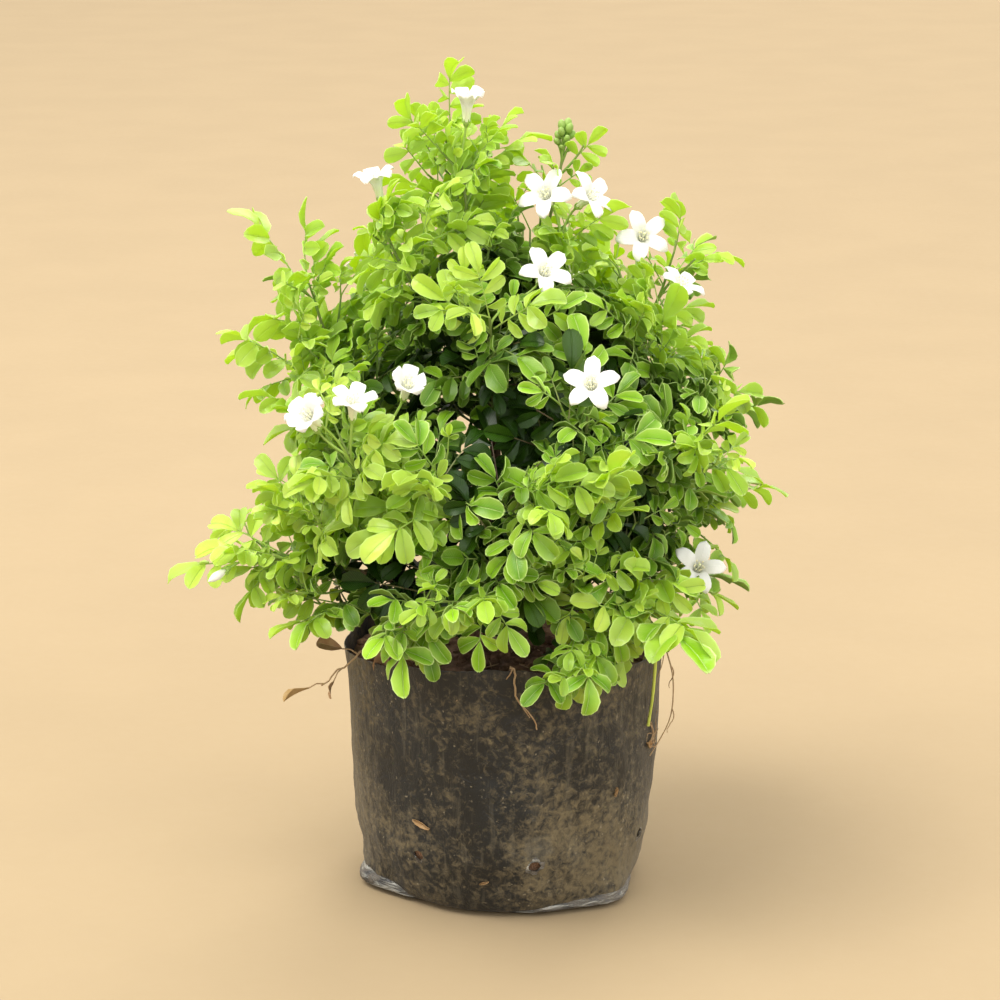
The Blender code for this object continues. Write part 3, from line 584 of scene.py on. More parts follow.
def side_of(along, turn):
    """A unit vector square to a line, turned this many degrees round it."""
    side = along.orthogonal().normalized()
    side.rotate(Matrix.Rotation(math.radians(turn), 3, along))
    return side


def shake(chance, size):
    """A small random shift."""
    return Vector([chance.uniform(-1, 1) for _ in range(3)]) * size


def turn_between(a, b):
    """The angle between two bearings, from 0 to 180 degrees."""
    return abs((a - b + 180.0) % 360.0 - 180.0)


def smooth(low, high, value):
    """0 below low, 1 above high, and a smooth step between."""
    share = min(1.0, max(0.0, (value - low) / (high - low)))
    return share * share * (3.0 - 2.0 * share)


def ridge(spot):
    """Sharp creases between soft swells, from -1 to 1."""
    return 1.0 - 3.0 * abs(noise.noise(spot))


def bezier(points, share):
    """The point at this share of the cubic curve through its four control points."""
    a, b, c, d = points
    rest = 1.0 - share
    return a * rest**3 + b * 3 * rest**2 * share + c * 3 * rest * share**2 + d * share**3


def bezier_tangent(points, share):
    a, b, c, d = points
    rest = 1.0 - share
    along = (b - a) * rest**2 + (c - b) * 2 * rest * share + (d - c) * share**2
    return along.normalized()


def tapered(first, last, count):
    return [first + (last - first) * i / (count - 1) for i in range(count)]


def points_between(line, first, last, count):
    return [bezier(line, share) for share in tapered(first, last, count)]


def trunk_at(height):
    """The trunk's middle line: upright in the soil, then a slight bend."""
    above = max(0.0, height - TRUNK_BEND_HEIGHT)
    return Vector((TRUNK_LEAN[0] * above, TRUNK_LEAN[1] * above, height))


def limb_curve(limb):
    """The line of a woody limb, which leaves the trunk steeply and bends outward."""
    start = trunk_at(limb.height)
    end = at(limb.bearing, limb.reach, limb.top)
    lift = Vector((0.0, 0.0, LIMB_LIFT * (end.z - start.z)))
    away = (end - start) * LIMB_OUTWARD
    return [start, start + away * 0.6 + lift, end - away, end]


def shoot_curve(shoot):
    """The line of a shoot, from the limb that carries it to the end of its stem."""
    limb = limb_curve(LIMBS[shoot.limb])
    start = bezier(limb, shoot.share)
    end = at(shoot.bearing, shoot.reach, shoot.top)
    leave = (bezier_tangent(limb, shoot.share) + (end - start).normalized()).normalized()
    pull = (end - start).length * SHOOT_PULL
    return [start, start + leave * pull, end - facing(shoot.bearing, shoot.rise) * pull, end]


def wood_share(line):
    """The share of a shoot's line that is a woody spur."""
    return max(SPUR_SHARE, SPUR_LENGTH / (line[3] - line[0]).length)


def leaf_place(origin, direction, roll):
    """The matrix that lays a leaf along direction, its face turned to the light and rolled."""
    along = direction.normalized()
    light = outward(origin) * LIGHT_LEAN + UP
    if light.angle(along) < math.radians(NEAR_PARALLEL):
        light = UP
    side = light.cross(along).normalized()
    turn = Matrix.Rotation(math.radians(roll), 3, along)
    columns = Matrix((along, turn @ side, turn @ along.cross(side))).transposed()
    return Matrix.Translation(origin) @ columns.to_4x4()


def crown_depth(spot):
    """0 at the crown's middle line at this height and 1 at its outline."""
    heights, *edges = zip(*CROWN)
    left, right, depth = (float(np.interp(spot.z, heights, edge)) for edge in edges)
    depth *= CROWN_BACK if spot.y > 0 else 1.0
    return math.hypot((spot.x - (left + right) / 2) / ((right - left) / 2), spot.y / depth)


def hollow_share(spot):
    """1 inside one of the crown's hollows, where leaves get painted shade, falling to 0 round it.
    """
    nearest = min((spot - at(*place)).length / radius for *place, radius in HOLLOWS)
    return 1.0 - smooth(1.0, HOLLOW_EDGE, nearest)


# Meshes


def join_ranks(form, ranks, closed=False):
    """Faces between each rank of vertices and the next."""
    for near, far in zip(ranks, ranks[1:]):
        for i in range(len(near) - (not closed)):
            after = (i + 1) % len(near)
            form.faces.new((near[i], near[after], far[after], far[i]))


def form_mesh(form, name):
    """The mesh of a finished form."""
    mesh = bpy.data.meshes.new(name)
    form.to_mesh(mesh)
    form.free()
    mesh.shade_smooth()
    return mesh


def ring_faces(rings, sides):
    """The faces of a closed tube, its ends included."""
    faces = [tuple(reversed(range(sides))), tuple(range((rings - 1) * sides, rings * sides))]
    for a in range((rings - 1) * sides):
        b = a + 1 - sides * (a % sides == sides - 1)
        faces.append((a, b, b + sides, a + sides))
    return faces


def ring_blades(rings, sides, first=0.0):
    """Leaf coordinates of a tube, which only count along it."""
    along = np.repeat(np.linspace(first, 1.0, rings), sides)
    return np.column_stack((along, np.zeros((rings * sides, 2))))


class Template(NamedTuple):
    """A thin closed blade one unit long: share along, share across and side, and its faces."""

    along: np.ndarray
    across: np.ndarray
    under: np.ndarray
    faces: list

    @property
    def blades(self):
        return np.column_stack((self.along, self.across, self.under))


def blade_template(rows, columns, notch=0.0):
    """A blade's sheet, rank by rank, thickened; rows hold where a rank is."""
    form = bmesh.new()
    ranks = []
    for along in rows:
        cut = notch if along == rows[-1] else 0.0
        ranks.append([form.verts.new((along - cut * (v == 0.0), v, 0.0)) for v in columns])
    join_ranks(form, ranks)
    form.normal_update()
    bmesh.ops.solidify(form, geom=form.faces[:], thickness=1.0)
    form.verts.index_update()
    spots = np.array([vertex.co for vertex in form.verts])
    faces = [tuple(vertex.index for vertex in face.verts) for face in form.faces]
    form.free()
    return Template(spots[:, 0], spots[:, 1], -np.round(spots[:, 2]), faces)


def leaflet_template(rows):
    return blade_template(rows, (1.0, 0.0, -1.0), LEAFLET_NOTCH)


class Growth:
    """A piece's points and faces, with leaf coordinates, age and tint, before it is a mesh."""

    def __init__(self):
        self.points = []
        self.blades = []
        self.tones = []
        self.faces = []
        self.slots = []
        self.count = 0

    def add(self, points, faces, blades, age, tint, slot=0):
        self.points.append(np.array(points))
        self.blades.append(blades)
        self.tones.append(np.tile((age, tint, 0.0), (len(points), 1)))
        self.faces += [tuple(corner + self.count for corner in face) for face in faces]
        self.slots += [slot] * len(faces)
        self.count += len(points)

    def tube(self, points, radii, sides, age, tint=0.5, slot=0):
        """A closed tapered tube along the points."""
        last = len(points) - 1
        rings = []
        normal = (points[1] - points[0]).orthogonal().normalized()
        for i, (point, radius) in enumerate(zip(points, radii)):
            along = (points[min(i + 1, last)] - points[max(i - 1, 0)]).normalized()
            normal = (normal - along * normal.dot(along)).normalized()
            other = along.cross(normal)
            for k in range(sides):
                angle = 2 * math.pi * k / sides
                ray = normal * math.cos(angle) + other * math.sin(angle)
                rings.append(point + ray * radius)
        self.add(rings, ring_faces(last + 1, sides), ring_blades(last + 1, sides), age, tint, slot)

    def rod(self, line, span, radii, count, sides, age, tint=0.5, slot=0):
        """A tube along part of a cubic curve, tapered from one radius to the other."""
        points = points_between(line, *span, count)
        self.tube(points, tapered(*radii, count), sides, age, tint, slot)

    def ball(self, centre, axis, radius, stretch, age, tint=0.5, slot=0, rings=5, sides=8):
        """A closed egg along an axis."""
        angles = [math.pi * (i + 0.35) / (rings - 0.3) for i in range(rings)]
        turn = upright(axis)
        reach = radius * stretch
        line = [centre - turn @ Vector((0.0, 0.0, reach * math.cos(angle))) for angle in angles]
        self.tube(line, [radius * math.sin(angle) for angle in angles], sides, age, tint, slot)

    def piece(self, name, *finishes):
        """The finished object, smooth but for its thin edges."""
        mesh = bpy.data.meshes.new(name)
        mesh.from_pydata(np.vstack(self.points).tolist(), [], self.faces)
        for look in finishes:
            mesh.materials.append(look)
        mesh.polygons.foreach_set("material_index", self.slots)
        for key, rows in (("blade", self.blades), ("tone", self.tones)):
            layer = mesh.attributes.new(key, "FLOAT_VECTOR", "POINT")
            layer.data.foreach_set("vector", np.vstack(rows).astype(np.float32).ravel())
        mesh.shade_smooth()
        mesh.set_sharp_from_angle(angle=math.radians(SHARP_ANGLE))
        return bpy.data.objects.new(name, mesh)


def settle(piece, slot, *nodes):
    """Links a piece, has it ride on the plant's one body and stand for its solids."""
    bpy.context.scene.collection.objects.link(piece)
    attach(piece, BODY)
    if nodes:
        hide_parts(*nodes)


# Bag and soil


def dent(bearing, height):
    """How far the soft wall bulges or sinks at a place."""
    turn = math.radians(bearing)
    wave = math.sin(3 * turn + 0.8) + 0.6 * math.sin(7 * turn + 45 * height)
    return BAG_DENT * wave * min(1.0, height / BAG_WAIST_HEIGHT)


def ear(bearing, height):
    """How far the folded bottom corners stand out."""
    nearest = min(turn_between(bearing, other) for other in BAG_EAR_BEARINGS)
    across = math.exp(-((nearest / BAG_EAR_SPREAD) ** 2))
    return BAG_EAR * across * math.exp(-((height / BAG_EAR_HEIGHT) ** 2))


def rim_height(bearing):
    """The rim stands higher at the front and back than at the sides."""
    return BAG_HEIGHT + BAG_RIM_RISE * math.cos(2 * math.radians(bearing))


def wall_reach(height):
    """The wall's reach at a height, before its bulges."""
    return float(np.interp(height, BAG_LEVELS[1:], BAG_REACHES[1:]))


def film_reach(bearing, height):
    return wall_reach(height) + dent(bearing, height)


def on_film(bearing, height, lift=0.0):
    """A point on the outside of the film, or this far off it."""
    return at(bearing, film_reach(bearing, height) + lift, height)


def creases(bearing, height, depth):
    """The crumpled film: long upright folds, slanting ones low down, and puckers at the rim."""
    turn = math.radians(bearing)
    x, y = math.sin(turn), -math.cos(turn)
    standing = ridge(Vector((x * 4.2, y * 4.2, height * 14.0)))
    slant = ridge(Vector((x * 3.0 + height * 30.0, y * 3.0, height * 48.0 + 7.0)))
    small = ridge(Vector((x * 11.0, y * 11.0, height * 90.0 + 3.0)))
    level = ridge(Vector((x * 2.4, y * 2.4 + 5.0, height * 120.0)))
    low = 1.0 - smooth(0.018, 0.060, height)
    pucker = math.sin(13 * turn + 1.0) + 0.7 * math.sin(23 * turn) + 0.5 * math.sin(41 * turn)
    total = 0.85 * standing + (0.35 + 0.75 * low) * slant + 0.30 * small + 0.45 * low * level
    return depth * (total + 0.55 * pucker * smooth(0.084, 0.108, height))


def bag_mesh(crease):
    """The crumpled film as an open wall with its floor."""
    steps = np.hypot(np.diff(BAG_REACHES), np.diff(BAG_LEVELS))
    lengths = np.concatenate(([0.0], np.cumsum(steps)))
    shares = np.linspace(0.0, 1.0, BAG_ROWS) ** 0.8 * lengths[-1]
    form = bmesh.new()
    middle = form.verts.new((0.0, 0.0, 0.0))
    ranks = []
    for share in shares[1:]:
        reach = np.interp(share, lengths, BAG_REACHES)
        height = np.interp(share, lengths, BAG_LEVELS)
        rank = []
        for i in range(BAG_COLUMNS):
            bearing = 360.0 * i / BAG_COLUMNS
            out = reach
            if reach > BAG_FOOT_RADIUS * 0.9:
                out += dent(bearing, height) + ear(bearing, height)
                out += creases(bearing, height, crease) * smooth(0.0, 0.004, height)
            level = height + (rim_height(bearing) - BAG_HEIGHT) * (height / BAG_HEIGHT) ** 4
            spot = Vector((math.sin(math.radians(bearing)) * 6.0, 0.0, bearing / 40))
            level += 0.0011 * noise.noise(spot) * smooth(0.095, 0.1065, height)
            rank.append(form.verts.new(at(bearing, out, level)))
        ranks.append(rank)
    for i in range(BAG_COLUMNS):
        form.faces.new((middle, ranks[0][(i + 1) % BAG_COLUMNS], ranks[0][i]))
    join_ranks(form, ranks, closed=True)
    bmesh.ops.recalc_face_normals(form, faces=form.faces)
    return form_mesh(form, "film_bag")


def punch(bag, radius):
    """Cuts the ragged drain holes and applies the bag's modifiers."""
    home = bpy.data.collections.new("drain_punches")
    bpy.context.scene.collection.children.link(home)
    chance = random.Random(SEED)
    for bearing in DRAIN_BEARINGS:
        form = bmesh.new()
        bmesh.ops.create_cone(
            form, cap_ends=True, segments=14, radius1=radius, radius2=radius, depth=0.012
        )
        for vertex in form.verts:
            stretch = chance.uniform(0.82, 1.12)
            vertex.co.x *= stretch
            vertex.co.y *= stretch * 0.8
        place = Matrix.Translation(on_film(bearing, DRAIN_HEIGHT))
        place = place @ Matrix.Rotation(math.radians(bearing), 4, "Z")
        place = place @ Matrix.Rotation(math.radians(90), 4, "X")
        bmesh.ops.transform(form, matrix=place, verts=form.verts)
        home.objects.link(bpy.data.objects.new("drain_punch", form_mesh(form, "drain_punch")))
    cut = bag.modifiers.new("drains", "BOOLEAN")
    cut.operation = "DIFFERENCE"
    cut.operand_type = "COLLECTION"
    cut.collection = home
    bpy.context.view_layer.update()
    graph = bpy.context.evaluated_depsgraph_get()
    mesh = bpy.data.meshes.new_from_object(bag.evaluated_get(graph))
    bag.modifiers.clear()
    bag.data = mesh
    for tool in list(home.objects):
        bpy.data.objects.remove(tool)
    bpy.data.collections.remove(home)


def corner_flap(name, first, last, reach, lift, seed):
    """A fold of film that lies against the bag's foot, between two bearings."""
    form = bmesh.new()
    ranks = []
    for share in tapered(0.0, 1.0, FLAP_STEPS):
        bearing = first + (last - first) * share
        belly = math.sin(math.pi * share) ** 0.6
        rank = []
        for out in tapered(0.0, 1.0, FLAP_ROWS):
            crumple = noise.noise(Vector((bearing * 0.22, out * 2.6, seed)))
            fold = ridge(Vector((bearing * 0.10, out * 1.5, seed + 3.0)))
            height = 0.0005 + lift * belly * (1.0 - out) + 0.0005 * belly * max(0.0, crumple)
            inner = film_reach(bearing, height) + ear(bearing, height) - 0.0004
            bulge = math.sin(math.pi * out) * 0.0016 + 0.0005 * fold * (1.0 - out)
            spot = at(bearing, inner + belly * (reach * out + bulge), height)
            rank.append(form.verts.new(spot))
        ranks.append(rank)
    join_ranks(form, ranks)
    bmesh.ops.recalc_face_normals(form, faces=form.faces)
    flap = bpy.data.objects.new(name, form_mesh(form, name))
    film = flap.modifiers.new("film", "SOLIDIFY")
    film.thickness = 0.0003
    film.offset = 1.0
    return flap


def drain_lips(radius):
    """The torn, stretched film round the drain holes."""
    lips = Growth()
    chance = random.Random(SEED + 7)
    for bearing in DRAIN_BEARINGS:
        middle = on_film(bearing, DRAIN_HEIGHT)
        out = facing(bearing, 0.0)
        side = UP.cross(out)
        points = []
        faces = []
        for i in range(LIP_SIDES):
            angle = 2 * math.pi * i / LIP_SIDES
            ray = side * math.cos(angle) + UP * math.sin(angle) * 0.85
            near = middle + ray * radius * chance.uniform(0.86, 1.02)
            far = middle + ray * radius * chance.uniform(1.15, 1.75)
            points += [near + out * 0.0005, far + out * 0.0001]
            points += [far - out * 0.0006, near - out * 0.0006]
            a, b = i * 4, (i + 1) % LIP_SIDES * 4
            faces += [(a + k, a + (k + 1) % 4, b + (k + 1) % 4, b + k) for k in range(4)]
        lips.add(points, faces, np.zeros((len(points), 3)), 0.5, chance.random())
    return lips


def stuck_litter():
    """Scraps of dead leaf, and a knot of root fibres, caught on the outside of the film."""
    litter = Growth()
    chance = random.Random(SEED + 3)
    scrap = blade_template((0.0, 0.25, 0.55, 0.85, 1.0), (1.0, 0.0, -1.0))
    for bearing, height, length, breadth, roll in (
        (-33, 0.040, 0.0085, 0.0026, -18),
        (70, 0.0635, 0.0060, 0.0034, -30),
        (-8, 0.0175, 0.0042, 0.0012, 20),
        (44, 0.0520, 0.0040, 0.0013, 75),
    ):
        half = np.sin(np.pi * (0.08 + 0.86 * scrap.along)) * breadth / 2
        cosine, sine = math.cos(math.radians(roll)), math.sin(math.radians(roll))
        across = (scrap.along - 0.5) * length * cosine - scrap.across * half * sine
        rise = (scrap.along - 0.5) * length * sine + scrap.across * half * cosine
        turns = bearing + np.degrees(across / wall_reach(height))
        lifts = 0.0006 - scrap.under * 0.0004 + 0.0009 * scrap.across**2
        points = [on_film(*place) for place in zip(turns, height + rise, lifts)]
        litter.add(points, scrap.faces, scrap.blades, 0.45, chance.random())
    for _ in range(FIBRE_COUNT):
        spots = []
        turn, height = 70.0 + chance.uniform(-1, 3), 0.0630 + chance.uniform(-0.002, 0.002)
        heading = chance.uniform(-0.6, 0.9)
        for k in range(FIBRE_POINTS):
            turn += math.degrees(FIBRE_STEP * math.cos(heading) / 0.065)
            height += FIBRE_STEP * math.sin(heading)
            heading += chance.uniform(-0.1, 0.55)
            spots.append(on_film(turn, height, 0.0009 + 0.0006 * math.sin(k * 0.5)))
        litter.tube(spots, tapered(0.00030, 0.00012, FIBRE_POINTS), 5, 0.95, chance.random())
    return litter


def soil_top(spot):
    """The point of the soil above or below a spot: a low mound with clods and crumbs."""
    mound = SOIL_MOUND * (1.0 - (math.hypot(spot.x, spot.y) / BAG_RIM_RADIUS) ** 2)
    clods = 0.0020 * noise.noise(Vector((spot.x * 70, spot.y * 70, 1.0)))
    crumbs = 0.0009 * ridge(Vector((spot.x * 230, spot.y * 230, 4.0)))
    grains = 0.0004 * noise.noise(Vector((spot.x * 700, spot.y * 700, 9.0)))
    return Vector((spot.x, spot.y, SOIL_HEIGHT + mound + clods + crumbs + grains))


def soil_mesh():
    """The earth as a closed solid, fine on top and plain below."""
    form = bmesh.new()
    middle = form.verts.new(soil_top(Vector()))
    bearings = [360.0 * i / SOIL_COLUMNS for i in range(SOIL_COLUMNS)]
    rings = []
    for k in range(1, SOIL_RINGS + 1):
        share = k / SOIL_RINGS
        reaches = [SOIL_RADIUS * share + dent(each, BAG_HEIGHT) * share for each in bearings]
        rings.append([soil_top(at(*place, 0.0)) for place in zip(bearings, reaches)])
    for height in SOIL_LEVELS:
        inner = 0.006 if height == SOIL_LEVELS[-1] else BAG_SOLID_FILM + 0.0007
        rings.append([on_film(bearing, height, -inner) for bearing in bearings])
    ranks = [[form.verts.new(spot) for spot in ring] for ring in rings]
    for i in range(SOIL_COLUMNS):
        form.faces.new((middle, ranks[0][i], ranks[0][(i + 1) % SOIL_COLUMNS]))
    join_ranks(form, ranks, closed=True)
    form.faces.new(ranks[-1])
    bmesh.ops.recalc_face_normals(form, faces=form.faces)
    return form_mesh(form, "earth")


def scatter_litter():
    """Clods, stones and bits of dry straw that lie on the earth."""
    litter = Growth()
    chance = random.Random(SEED + 1)
    for _ in range(CLOD_COUNT):
        reach = SOIL_RADIUS * 0.96 * math.sqrt(chance.random())
        spot = at(chance.uniform(0, 360), reach, 0.0)
        if reach < TRUNK_RADIUS * 1.6:
            continue
        size = 0.0005 + 0.0022 * chance.random() ** 4
        axis = Vector([chance.uniform(-lean, lean) for lean in (1, 1, 0.4)])
        age, tint = chance.random(), chance.random()
        stretch = chance.uniform(0.7, 1.5)
        litter.ball(soil_top(spot), axis, size, stretch, age, tint, rings=4, sides=6)
    for _ in range(STRAW_COUNT):
        bearing, reach = chance.uniform(0, 360), SOIL_RADIUS * 0.92 * math.sqrt(chance.random())
        spot = soil_top(at(bearing, reach, 0.0)) + UP * 0.0008
        way = facing(chance.uniform(0, 360), chance.uniform(-8, 8))
        length = chance.uniform(0.004, 0.014)
        bend = Vector((chance.uniform(-1, 1), chance.uniform(-1, 1), 0.2)) * length * 0.25
        way = way * length
        line = [spot, spot + way * 0.3 + bend, spot + way * 0.7, spot + way]
        litter.rod(line, (0.0, 1.0), (0.0004, 0.0002), 6, 5, 1.0, chance.random(), 1)
    return litter


# Wood, shoots and leaves


def wood_growth():
    """Trunk, limbs and spurs."""
    wood = Growth()
    heights = [float(height) for height in np.linspace(TRUNK_FLOOR, TRUNK_TOP, TRUNK_POINTS)]
    radii = [
        TRUNK_RADIUS * float(np.interp(height, *TRUNK_TAPER))
        * (1.0 + 0.06 * noise.noise(Vector((0.0, 0.0, height * 160))))
        for height in heights
    ]
    wood.tube([trunk_at(height) for height in heights], radii, 16, 0.9)
    for name, limb in LIMBS.items():
        chance = random.Random(name)
        points = points_between(limb_curve(limb), 0.0, 1.0, LIMB_POINTS)
        points = [point + shake(chance, 0.00025) for point in points]
        radii = tapered(*LIMB_RADII, LIMB_POINTS)
        radii = [radius * chance.uniform(0.94, 1.08) for radius in radii]
        wood.tube(points, radii, 10, 0.75, chance.random())
    for shoot in [*SHOOTS.values(), DRY_TWIG]:
        line = shoot_curve(shoot)
        wood.rod(line, (0.0, wood_share(line)), SPUR_RADII, 6, 8, 0.55)
    return wood


def shaped_leaflet(template, chance, size, breadth, thickness):
    """A leaflet's points along +X: folded up a little at its midrib and curled down."""
    cup = chance.uniform(0.20, 0.72)
    curl = chance.uniform(0.30, 1.25)
    half = np.interp(template.along, LEAFLET_ROWS, LEAFLET_WIDTHS) * size * breadth / 2
    across = template.across * half
    lift = cup * np.abs(across) - template.under * thickness
    lift += 0.035 * size * np.sin(template.along * 9 + chance.uniform(0, 6)) * template.across**2
    turn = curl * template.along
    radius = size / curl
    x = (radius + lift) * np.sin(turn)
    z = (radius + lift) * np.cos(turn) - radius
    return np.column_stack((x, across, z))


def add_leaflet(growth, template, chance, place, size, age, settings):
    """One leaflet along the place's +X."""
    breadth = settings.breadth * chance.uniform(0.88, 1.12)
    points = shaped_leaflet(template, chance, size, breadth, settings.thickness)
    matrix = np.array(place)
    points = points @ matrix[:3, :3].T + matrix[:3, 3]
    age = min(1.0, max(0.0, age + chance.uniform(-0.07, 0.07)))
    slot = OLD_AND_SHADED_BLADE if age > OLD_AND_SHADED_AGE else BLADE
    growth.add(points, template.faces, template.blades, age, chance.random(), slot)


def add_leaf(growth, template, chance, leaf, settings):
    """A compound leaf: a thin rachis, leaflets left and right of it and one at its end."""
    points = [leaf.place @ leaf.spot(share) for share in tapered(0.0, RACHIS_END, 5)]
    # The rachis is coloured by the leaf's age, painted shade included
    growth.tube(points, tapered(*RACHIS_RADII, 5), 4, leaf.age * 0.6, chance.random())
    skip = 0 if leaf.length > SHORT_LEAF else 2 if leaf.length > TINY_LEAF else 4
    swap = chance.choice((-1, 1))
    for share, side, angle, size in LEAFLETS[skip:]:
        turn = math.radians(side * swap * (angle + chance.uniform(-9, 9)))
        pitch = math.atan(2 * leaf.droop * share) + math.radians(chance.uniform(-16, 14))
        roll = math.radians(chance.uniform(-20, 20))
        place = leaf.place @ Matrix.Translation(leaf.spot(share))
        for bend, axis in ((turn, "Z"), (pitch, "Y"), (roll, "X")):
            place = place @ Matrix.Rotation(bend, 4, axis)
        length = leaf.length * size * chance.uniform(0.9, 1.1)
        age = leaf.age - 0.10 * share
        add_leaflet(growth, template, chance, place, length, age, settings)


def hides_flower(spot):
    """True for a spot in a flower or close in front of one that shows."""
    for name, flower in FLOWERS.items():
        away = spot - flower.centre
        if away.length < FLOWER_CLEAR:
            return True
        ahead = away.dot(flower.axis)
        aside = (away - flower.axis * ahead).length
        if 0 < ahead < FLOWER_VIEW and aside < FLOWER_CLEAR and name not in HALF_HIDDEN:
            return True
    return False


def is_clear(leaf, limit):
    """True where a leaf stays within the crown, off the bag and clear of the flowers."""
    low, high = CAD_BOX
    for share in (0.25, 0.6, 0.95):
        spot = leaf.place @ leaf.spot(share)
        if any(not low[i] - BOX_EDGE < spot[i] < high[i] + BOX_EDGE for i in range(3)):
            return False
        if spot.z < RIM_CLEAR[1] and math.hypot(spot.x, spot.y) < RIM_CLEAR[0]:
            return False
        if crown_depth(spot) > limit or hides_flower(spot):
            return False
    return True


def leaves_along(line, span, chance, sizes, step, age, tip=True):
    """Compound leaves in a spiral along part of a line, with a tuft of young ones at its tip."""
    first, last = span
    count = max(1, round((line[3] - line[0]).length * (last - first) / step))
    turn = chance.uniform(0.0, 360.0)
    leaves = []
    for i in range(count + 3 * tip):
        share = min(last, first + (last - first) * (i + chance.uniform(-0.25, 0.25)) / count)
        share = max(first, share)
        young = i >= count
        turn += GOLDEN_TURN
        along = bezier_tangent(line, share)
        lean = chance.uniform(0.35, 0.9) if young else chance.uniform(0.9, 1.6)
        aim = (along + side_of(along, turn) * lean).normalized() + UP * chance.uniform(-0.10, 0.40)
        place = leaf_place(bezier(line, share), aim, chance.uniform(-28, 28))
        size = chance.uniform(*sizes) * (chance.uniform(0.50, 0.85) if young else 1.0)
        older = -0.16 if young else 0.24 * (1.0 - share) + chance.uniform(-0.12, 0.08)
        leaves.append(Leaf(place, size, chance.uniform(*LEAF_DROOPS), age + older))
    return leaves


def solid_leaves(name, shoot, line):
    """The large leaves that the shoot's solid has, in the same places."""
    chance = random.Random(f"{name} {SEED}")
    turn = chance.uniform(0.0, 360.0)
    leaves = []
    first = 0 if shoot.tip_leaf else 1
    for i in range(first, shoot.leaves + first):
        share = 1.0 - LEAF_STEP * i
        turn += GOLDEN_TURN
        along = bezier_tangent(line, share)
        aim = along + side_of(along, turn) * (TIP_LEAN if i == 0 else SIDE_LEAN)
        length = LEAF_LENGTH * chance.uniform(*LEAF_SIZES) * shoot.size * SOLID_LEAF_SHARE
        place = leaf_place(bezier(line, share), aim.normalized() + UP * 0.1, 0.0)
        age = shoot.age + 0.25 * (1.0 - share)
        leaves.append(Leaf(place, length, chance.uniform(*LEAF_DROOPS), age))
    return leaves


def twig_curves(line, chance, spacing):
    """Short side twigs that fill the shoot out, from its limb to near its end."""
    count = max(2, round((line[3] - line[0]).length / spacing))
    turn = chance.uniform(0.0, 360.0)
    curves = []
    for i in range(count):
        share = 0.10 + 0.80 * (i + chance.uniform(-0.3, 0.3)) / (count - 1)
        share = min(0.93, max(0.06, share))
        turn += GOLDEN_TURN
        along = bezier_tangent(line, share)
        start = bezier(line, share)
        way = along * 0.6 + side_of(along, turn) + UP * 0.35 + outward(start) * 0.35
        reach = chance.uniform(*TWIG_REACHES) * (1.15 - 0.45 * share)
        way = way.normalized() * reach
        rise = UP * reach
        end = start + way + rise * 0.22
        curves.append([start, start + way * 0.4, end - rise * 0.15 - way * 0.2, end])
    return curves


def sprig_leaves(growth, sprig, line, chance):
    """A twig towards a chosen place with its leaves; the last leaf ends at that place."""
    start = bezier(line, sprig.share)
    tip = at(sprig.bearing, sprig.reach, sprig.top)
    way = (tip - start).normalized()
    rest = max(0.0, (tip - start).length - sprig.leaf)
    end = start + way * rest
    leaves = []
    if rest > 0.004:
        leave = bezier_tangent(line, sprig.share)
        curve = [start, start + leave * rest * 0.4, end - way * rest * 0.4, end]
        growth.rod(curve, (0.0, 1.0), SPRIG_RADII, 7, 5, 0.45, chance.random())
        sizes = (sprig.leaf * 0.7, sprig.leaf * 0.9)
        span = (0.15, 1.0)
        leaves = leaves_along(curve, span, chance, sizes, SPRIG_SPACING, sprig.age, tip=False)
    droop = chance.uniform(*LEAF_DROOPS)
    place = leaf_place(end, tip - end + UP * droop * sprig.leaf, 0.0)
    return [*leaves, Leaf(place, sprig.leaf, droop, sprig.age)]


def add_stalk(growth, flower, order):
    """A flower's green stalk, with the small lobed calyx under the flower."""
    line = shoot_curve(SHOOTS[flower.shoot])
    share = STALK_SHARE - STALK_STEP * order
    start = bezier(line, share)
    axis = flower.axis
    end = flower.base - axis * BLOOM_FOOT_GAP
    reach = (end - start).length
    lead = start + bezier_tangent(line, share) * reach * 0.4
    growth.rod([start, lead, end - axis * reach * 0.45, end], (0.0, 1.0), STALK_RADII, 12, 6, 0.12)
    cup = [end + axis * rise for rise in (-0.0018, -0.0010, 0.0, 0.0006)]
    growth.tube(cup, (0.0006, 0.0011, 0.0014, 0.0012), 10, 0.2)
    for i in range(PETAL_COUNT):
        angle = 2 * math.pi * i / PETAL_COUNT
        ring = flower.turn @ Vector((math.cos(angle), math.sin(angle), 0.0))
        shape = ((0.0012, 0.0), (0.0015, 0.0009), (0.0016, 0.0019))
        lobe = [end + ring * out + axis * rise for out, rise in shape]
        growth.tube(lobe, (0.0006, 0.0004, 0.0001), 5, 0.2)


def add_green_buds(growth, line):
    """The tight head of small green buds at the end of a shoot."""
    along = bezier_tangent(line, 1.0)
    tip = line[3] + along * BUD_HEAD_RISE
    growth.tube([line[3], tip], (0.0008, 0.0007), 6, 0.45)
    for i in range(GREEN_BUD_COUNT):
        axis = (along + side_of(along, GOLDEN_TURN * i) * (0.15 + 0.09 * i)).normalized()
        radius = 0.0018 - 0.00006 * i
        centre = tip + axis * (0.0052 - 0.00022 * i) - along * 0.00042 * i
        growth.tube([tip - along * 0.0008 * i, centre], (0.0004, 0.0005), 5, 0.3)
        growth.ball(centre + axis * radius, axis, radius, 1.45, 0.32)


